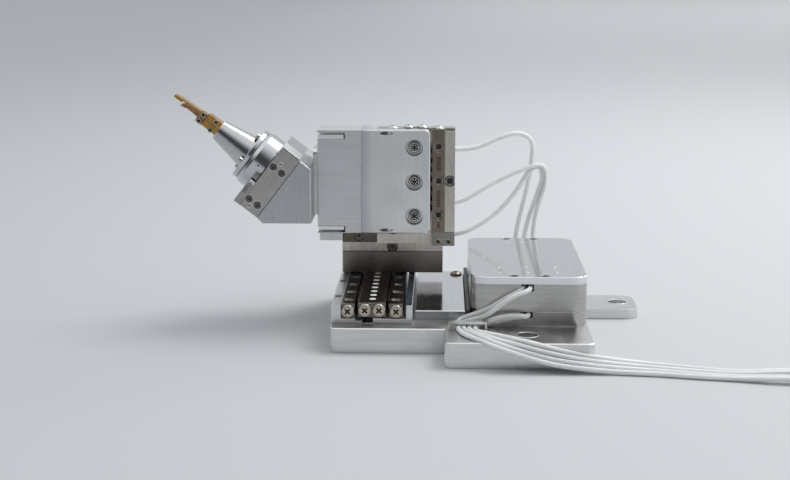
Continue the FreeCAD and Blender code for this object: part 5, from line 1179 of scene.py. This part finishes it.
CABLES = (
    Cable("loop_cable_1", diameter=1.5, length=88.3, to_plug=False, route=(
        (-31.0, 63.7, 41.7), (-31.0, 63.7, 46.8), (-27.0, 63.8, 49.3), (-19.5, 64.4, 48.3), (-12.5, 65.4, 48.6),
        (-6.9, 66.2, 51.3), (-0.3, 67.0, 53.5), (4.8, 68.8, 51.0), (4.4, 71.0, 43.2), (3.7, 74.2, 37.0),
        (2.2, 77.0, 29.6), (0.5, 78.4, 22.0), (-0.3, 78.3, 14.2), (-0.9, 68.5, 14.2))),
    Cable("loop_cable_2", diameter=1.5, length=72.0, to_plug=False, route=(
        (-22.7, 63.7, 32.0), (-17.4, 63.7, 32.0), (-11.0, 65.2, 36.0), (-4.5, 66.5, 39.5), (2.6, 68.4, 42.3),
        (8.4, 71.2, 43.2), (9.2, 74.2, 37.2), (7.0, 77.0, 29.6), (5.8, 78.8, 22.7), (5.4, 78.4, 14.2),
        (5.4, 68.5, 14.2))),
    Cable("loop_cable_3", diameter=1.5, length=76.8, to_plug=False, route=(
        (-22.7, 63.7, 22.4), (-17.2, 63.7, 22.4), (-10.4, 65.7, 25.6), (-4.6, 67.2, 30.0), (0.4, 68.6, 36.0),
        (3.6, 69.6, 41.6), (7.0, 71.0, 42.9), (8.2, 73.4, 38.6), (6.2, 76.6, 31.8), (3.7, 79.4, 23.6),
        (2.2, 78.6, 14.2), (2.1, 68.5, 14.2))),
    Cable("lead_cable_1", diameter=1.35, length=126.2, to_plug=True, route=(
        (-0.45, 13.6, 17.5), (-0.45, 8.9, 17.55), (-5.36, 8.3, 15.1), (-8.39, 8.2, 13.15), (-11.8, 8.6, 11.1),
        (-15.2, 9.2, 9.9), (-18.4, 9.2, 8.6), (-18.5, 6.8, 7.7), (-18.45, 3.0, 7.66), (-17.6, -1.6, 7.66),
        (-15.2, -6.2, 7.66), (-8.8, -12.0, 6.45), (-1.6, -13.1, 4.3), (5.6, -14.0, 2.5), (12.7, -14.4, 1.65),
        (20.0, -14.2, 0.92), (27.1, -14.9, 0.76), (33.0, -15.6, 0.76), (42.0, -17.9, 0.76), (52.0, -19.6, 0.76),
        (62.0, -22.2, 1.6), (68.0, -22.25, 1.6))),
    Cable("lead_cable_2", diameter=1.35, length=123.3, to_plug=True, route=(
        (1.15, 11.5, 17.5), (1.15, 7.0, 17.5), (-3.34, 5.9, 16.22), (-6.79, 5.9, 13.88), (-9.42, 6.3, 11.66),
        (-11.6, 7.2, 9.9), (-14.4, 7.9, 9.15), (-17.0, 7.7, 8.2), (-17.0, 5.9, 7.66), (-16.95, 2.6, 7.66),
        (-15.7, -1.2, 7.66), (-12.4, -5.8, 7.66), (-8.8, -10.5, 7.14), (-1.6, -11.8, 5.2), (5.6, -12.5, 3.45),
        (12.8, -13.2, 2.55), (20.1, -12.7, 1.6), (27.5, -11.6, 0.76), (33.3, -12.9, 0.76), (42.0, -15.6, 0.76),
        (52.0, -18.0, 0.76), (62.0, -20.5, 1.6), (68.0, -20.55, 1.6))),
    Cable("lead_cable_3", diameter=1.35, length=118.9, to_plug=True, route=(
        (-0.7, 16.5, 10.0), (-0.7, 8.7, 9.95), (-2.65, 8.5, 9.72), (-5.74, 8.5, 9.06), (-8.84, 8.5, 8.27),
        (-12.2, 8.5, 7.68), (-15.3, 7.8, 7.66), (-15.5, 5.0, 7.66), (-15.4, 1.4, 7.66), (-14.2, -2.0, 7.66),
        (-10.2, -6.0, 7.66), (-8.7, -8.2, 7.6), (-1.5, -10.9, 6.4), (5.7, -11.4, 4.65), (12.9, -11.9, 3.4),
        (20.2, -11.3, 2.35), (27.9, -8.2, 0.76), (33.8, -9.9, 0.76), (43.0, -12.9, 0.76), (53.0, -15.5, 0.8),
        (62.0, -16.3, 1.6), (68.0, -16.25, 1.6))),
    Cable("lead_cable_4", diameter=1.35, length=114.9, to_plug=True, route=(
        (1.0, 15.2, 10.0), (1.0, 7.0, 10.0), (-2.76, 6.5, 10.64), (-6.87, 6.5, 10.17), (-9.33, 6.2, 9.5),
        (-12.6, 6.7, 7.85), (-13.95, 4.6, 7.66), (-13.9, 1.6, 7.66), (-12.4, -1.0, 7.66), (-8.55, -3.6, 7.66),
        (-1.5, -9.8, 7.66), (5.8, -10.3, 5.85), (13.0, -10.5, 4.2), (20.4, -9.9, 3.1), (28.1, -6.6, 1.3),
        (34.2, -6.7, 0.76), (43.0, -9.9, 0.76), (53.0, -13.6, 0.8), (62.0, -14.6, 1.6), (68.0, -14.55, 1.6))),
)


@dataclass(frozen=True)
class Softbox:
    """One soft studio light.

    Attributes:
        name: Its name.
        place: Its place, in metres.
        aim: The point that it faces, in metres.
        size: The length of its side, in metres.
        power: Its power, in watts.
        colour: Its colour in sRGB hex.
    """

    name: str
    place: Point
    aim: Point
    size: float
    power: float
    colour: str = "#FFFFFF"

    def hang(self) -> None:
        """Make the light."""
        data = bpy.data.lights.new(self.name, "AREA")
        data.shape = "SQUARE"
        data.size = self.size
        data.energy = self.power
        data.color = linear(self.colour)[:3]
        light = bpy.data.objects.new(self.name, data)
        light.location = self.place
        light.rotation_euler = (Vector(self.aim) - Vector(self.place)).to_track_quat("-Z", "Y").to_euler()
        show(light)


@dataclass
class Studio:
    """Seamless pale backdrop, soft lights and the camera.

    Attributes:
        lens: The focal length, in millimetres, on a sensor 36 mm wide.
        eye: The camera's place, in metres.
        yaw: How far the camera turns from +Y towards -X, in degrees.
        pitch: How far it looks down, in degrees.
        roll: Its lean, in degrees.
        paper: The backdrop's colour.
        far_paper: Its colour at far left, painted darker as shade where less light falls.
        paper_fall: The span along X, in metres, over which one turns into the other.
        reach: Half the length of its side, in metres.
        tooth: The grains of its surface in one metre.
        tooth_relief: Their height, in micrometres.
        softboxes: The lights.
        room_front: The room's colour behind the camera.
        room_sides: Each later colour of the room, with its axis and the span over which it comes in.
    """

    lens: float = 69.76
    eye: Point = (-23.14 * MM, -396.21 * MM, 105.84 * MM)
    yaw: float = 1.76
    pitch: float = 10.51
    roll: float = 0.03
    paper: str = "#C8CACC"
    far_paper: str = "#B2B4B7"
    paper_fall: Pair = (-0.45, 0.25)
    reach: float = 7.0
    tooth: float = 900.0
    tooth_relief: float = 50.0
    softboxes: tuple[Softbox, ...] = (
        Softbox("key_softbox", (0.4, 0.3, 0.75), (-0.02, 0.03, 0.0), 0.45, 3.8),
        Softbox("back_softbox", (1.8, 2.3, 1.3), (0.9, 2.2, 0.0), 1.0, 12.0),
    )
    room_front: str = "#46474A"
    room_sides: tuple[tuple[str, Pair, Any], ...] = (
        ("Y", (-0.55, 0.3), "#C6CACE"), ("X", (0.6, 0.78), (1.0, 1.01, 1.03, 1.0)),
        ("Z", (0.35, 0.9), (1.0, 1.02, 1.05, 1.0)))

    def set_camera(self) -> None:
        """Place the camera where the photograph was taken from."""
        data = bpy.data.cameras.new("camera")
        data.sensor_width = 36.0
        data.sensor_fit = "HORIZONTAL"
        data.lens = self.lens
        data.clip_start, data.clip_end = 0.01, 20.0
        camera = bpy.data.objects.new("camera", data)
        turn = (Matrix.Rotation(math.radians(self.yaw), 4, "Z")
                @ Matrix.Rotation(math.radians(90 - self.pitch), 4, "X")
                @ Matrix.Rotation(math.radians(self.roll), 4, "Z"))
        camera.matrix_world = Matrix.Translation(Vector(self.eye)) @ turn
        show(camera)
        bpy.context.scene.camera = camera

    def lay_paper(self) -> None:
        """Lay the sheet of paper that the object stands on."""
        sheet = bmesh.new()
        bmesh.ops.create_grid(sheet, x_segments=8, y_segments=8, size=self.reach)
        data = bpy.data.meshes.new("paper_floor")
        sheet.to_mesh(data)
        sheet.free()
        paper = bpy.data.objects.new("paper_floor", data)
        show(paper)
        material, tree, output = new_material("studio_paper")
        spot = add_node(tree, "ShaderNodeTexCoord").outputs["Object"]
        relief = add_node(tree, "ShaderNodeBump", values={"Strength": 0.1, "Distance": self.tooth_relief * MICRON},
                          links={"Height": noise(tree, spot, self.tooth)})
        run = add_node(tree, "ShaderNodeSeparateXYZ", links={0: spot})
        # Painted shade: the paper is darker towards the far left.
        tint = mix(tree, ramp(tree, run.outputs["X"], self.paper_fall, smooth=True), self.far_paper, self.paper)
        shader = add_node(tree, "ShaderNodeBsdfPrincipled", values={"Roughness": 0.8, "Specular IOR Level": 0.2},
                          links={"Base Color": tint, "Normal": relief.outputs[0]})
        tree.links.new(shader.outputs[0], output.inputs["Surface"])
        data.materials.append(material)

    def set_room(self) -> None:
        """Light the room: bright overhead and at the right, pale at the back, dark behind the camera."""
        world = bpy.data.worlds.new("room")
        bpy.context.scene.world = world
        world.use_nodes = True
        tree = world.node_tree
        tree.nodes.clear()
        output = add_node(tree, "ShaderNodeOutputWorld")
        way = add_node(tree, "ShaderNodeTexCoord")
        split = add_node(tree, "ShaderNodeSeparateXYZ", links={0: way.outputs["Generated"]})
        light = self.room_front
        for axis, span, colour in self.room_sides:
            share = ramp(tree, split.outputs[axis], span, smooth=True)
            light = mix(tree, share, light, colour)
        glow = add_node(tree, "ShaderNodeBackground", values={"Strength": 1.0}, links={"Color": light})
        tree.links.new(glow.outputs[0], output.inputs["Surface"])

    def build(self) -> None:
        """Set up camera, paper, room and lights."""
        self.set_camera()
        self.lay_paper()
        self.set_room()
        for softbox in self.softboxes:
            softbox.hang()
        bpy.context.scene.view_settings.view_transform = "Standard"
        LOG.info("studio ready")


def main() -> None:
    """Build the scene in order."""
    logging.basicConfig(level=logging.INFO, format="%(message)s")
    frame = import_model()
    palette = Palette()
    Studio().build()
    Wiring(frame, palette, CABLES).dress()
    BaseUnit(frame, palette).dress()
    ControlBox(frame, palette).dress()
    SlideStack(frame, palette).dress()
    TiltedHead(frame, palette).dress()


if __name__ == "__main__":
    main()
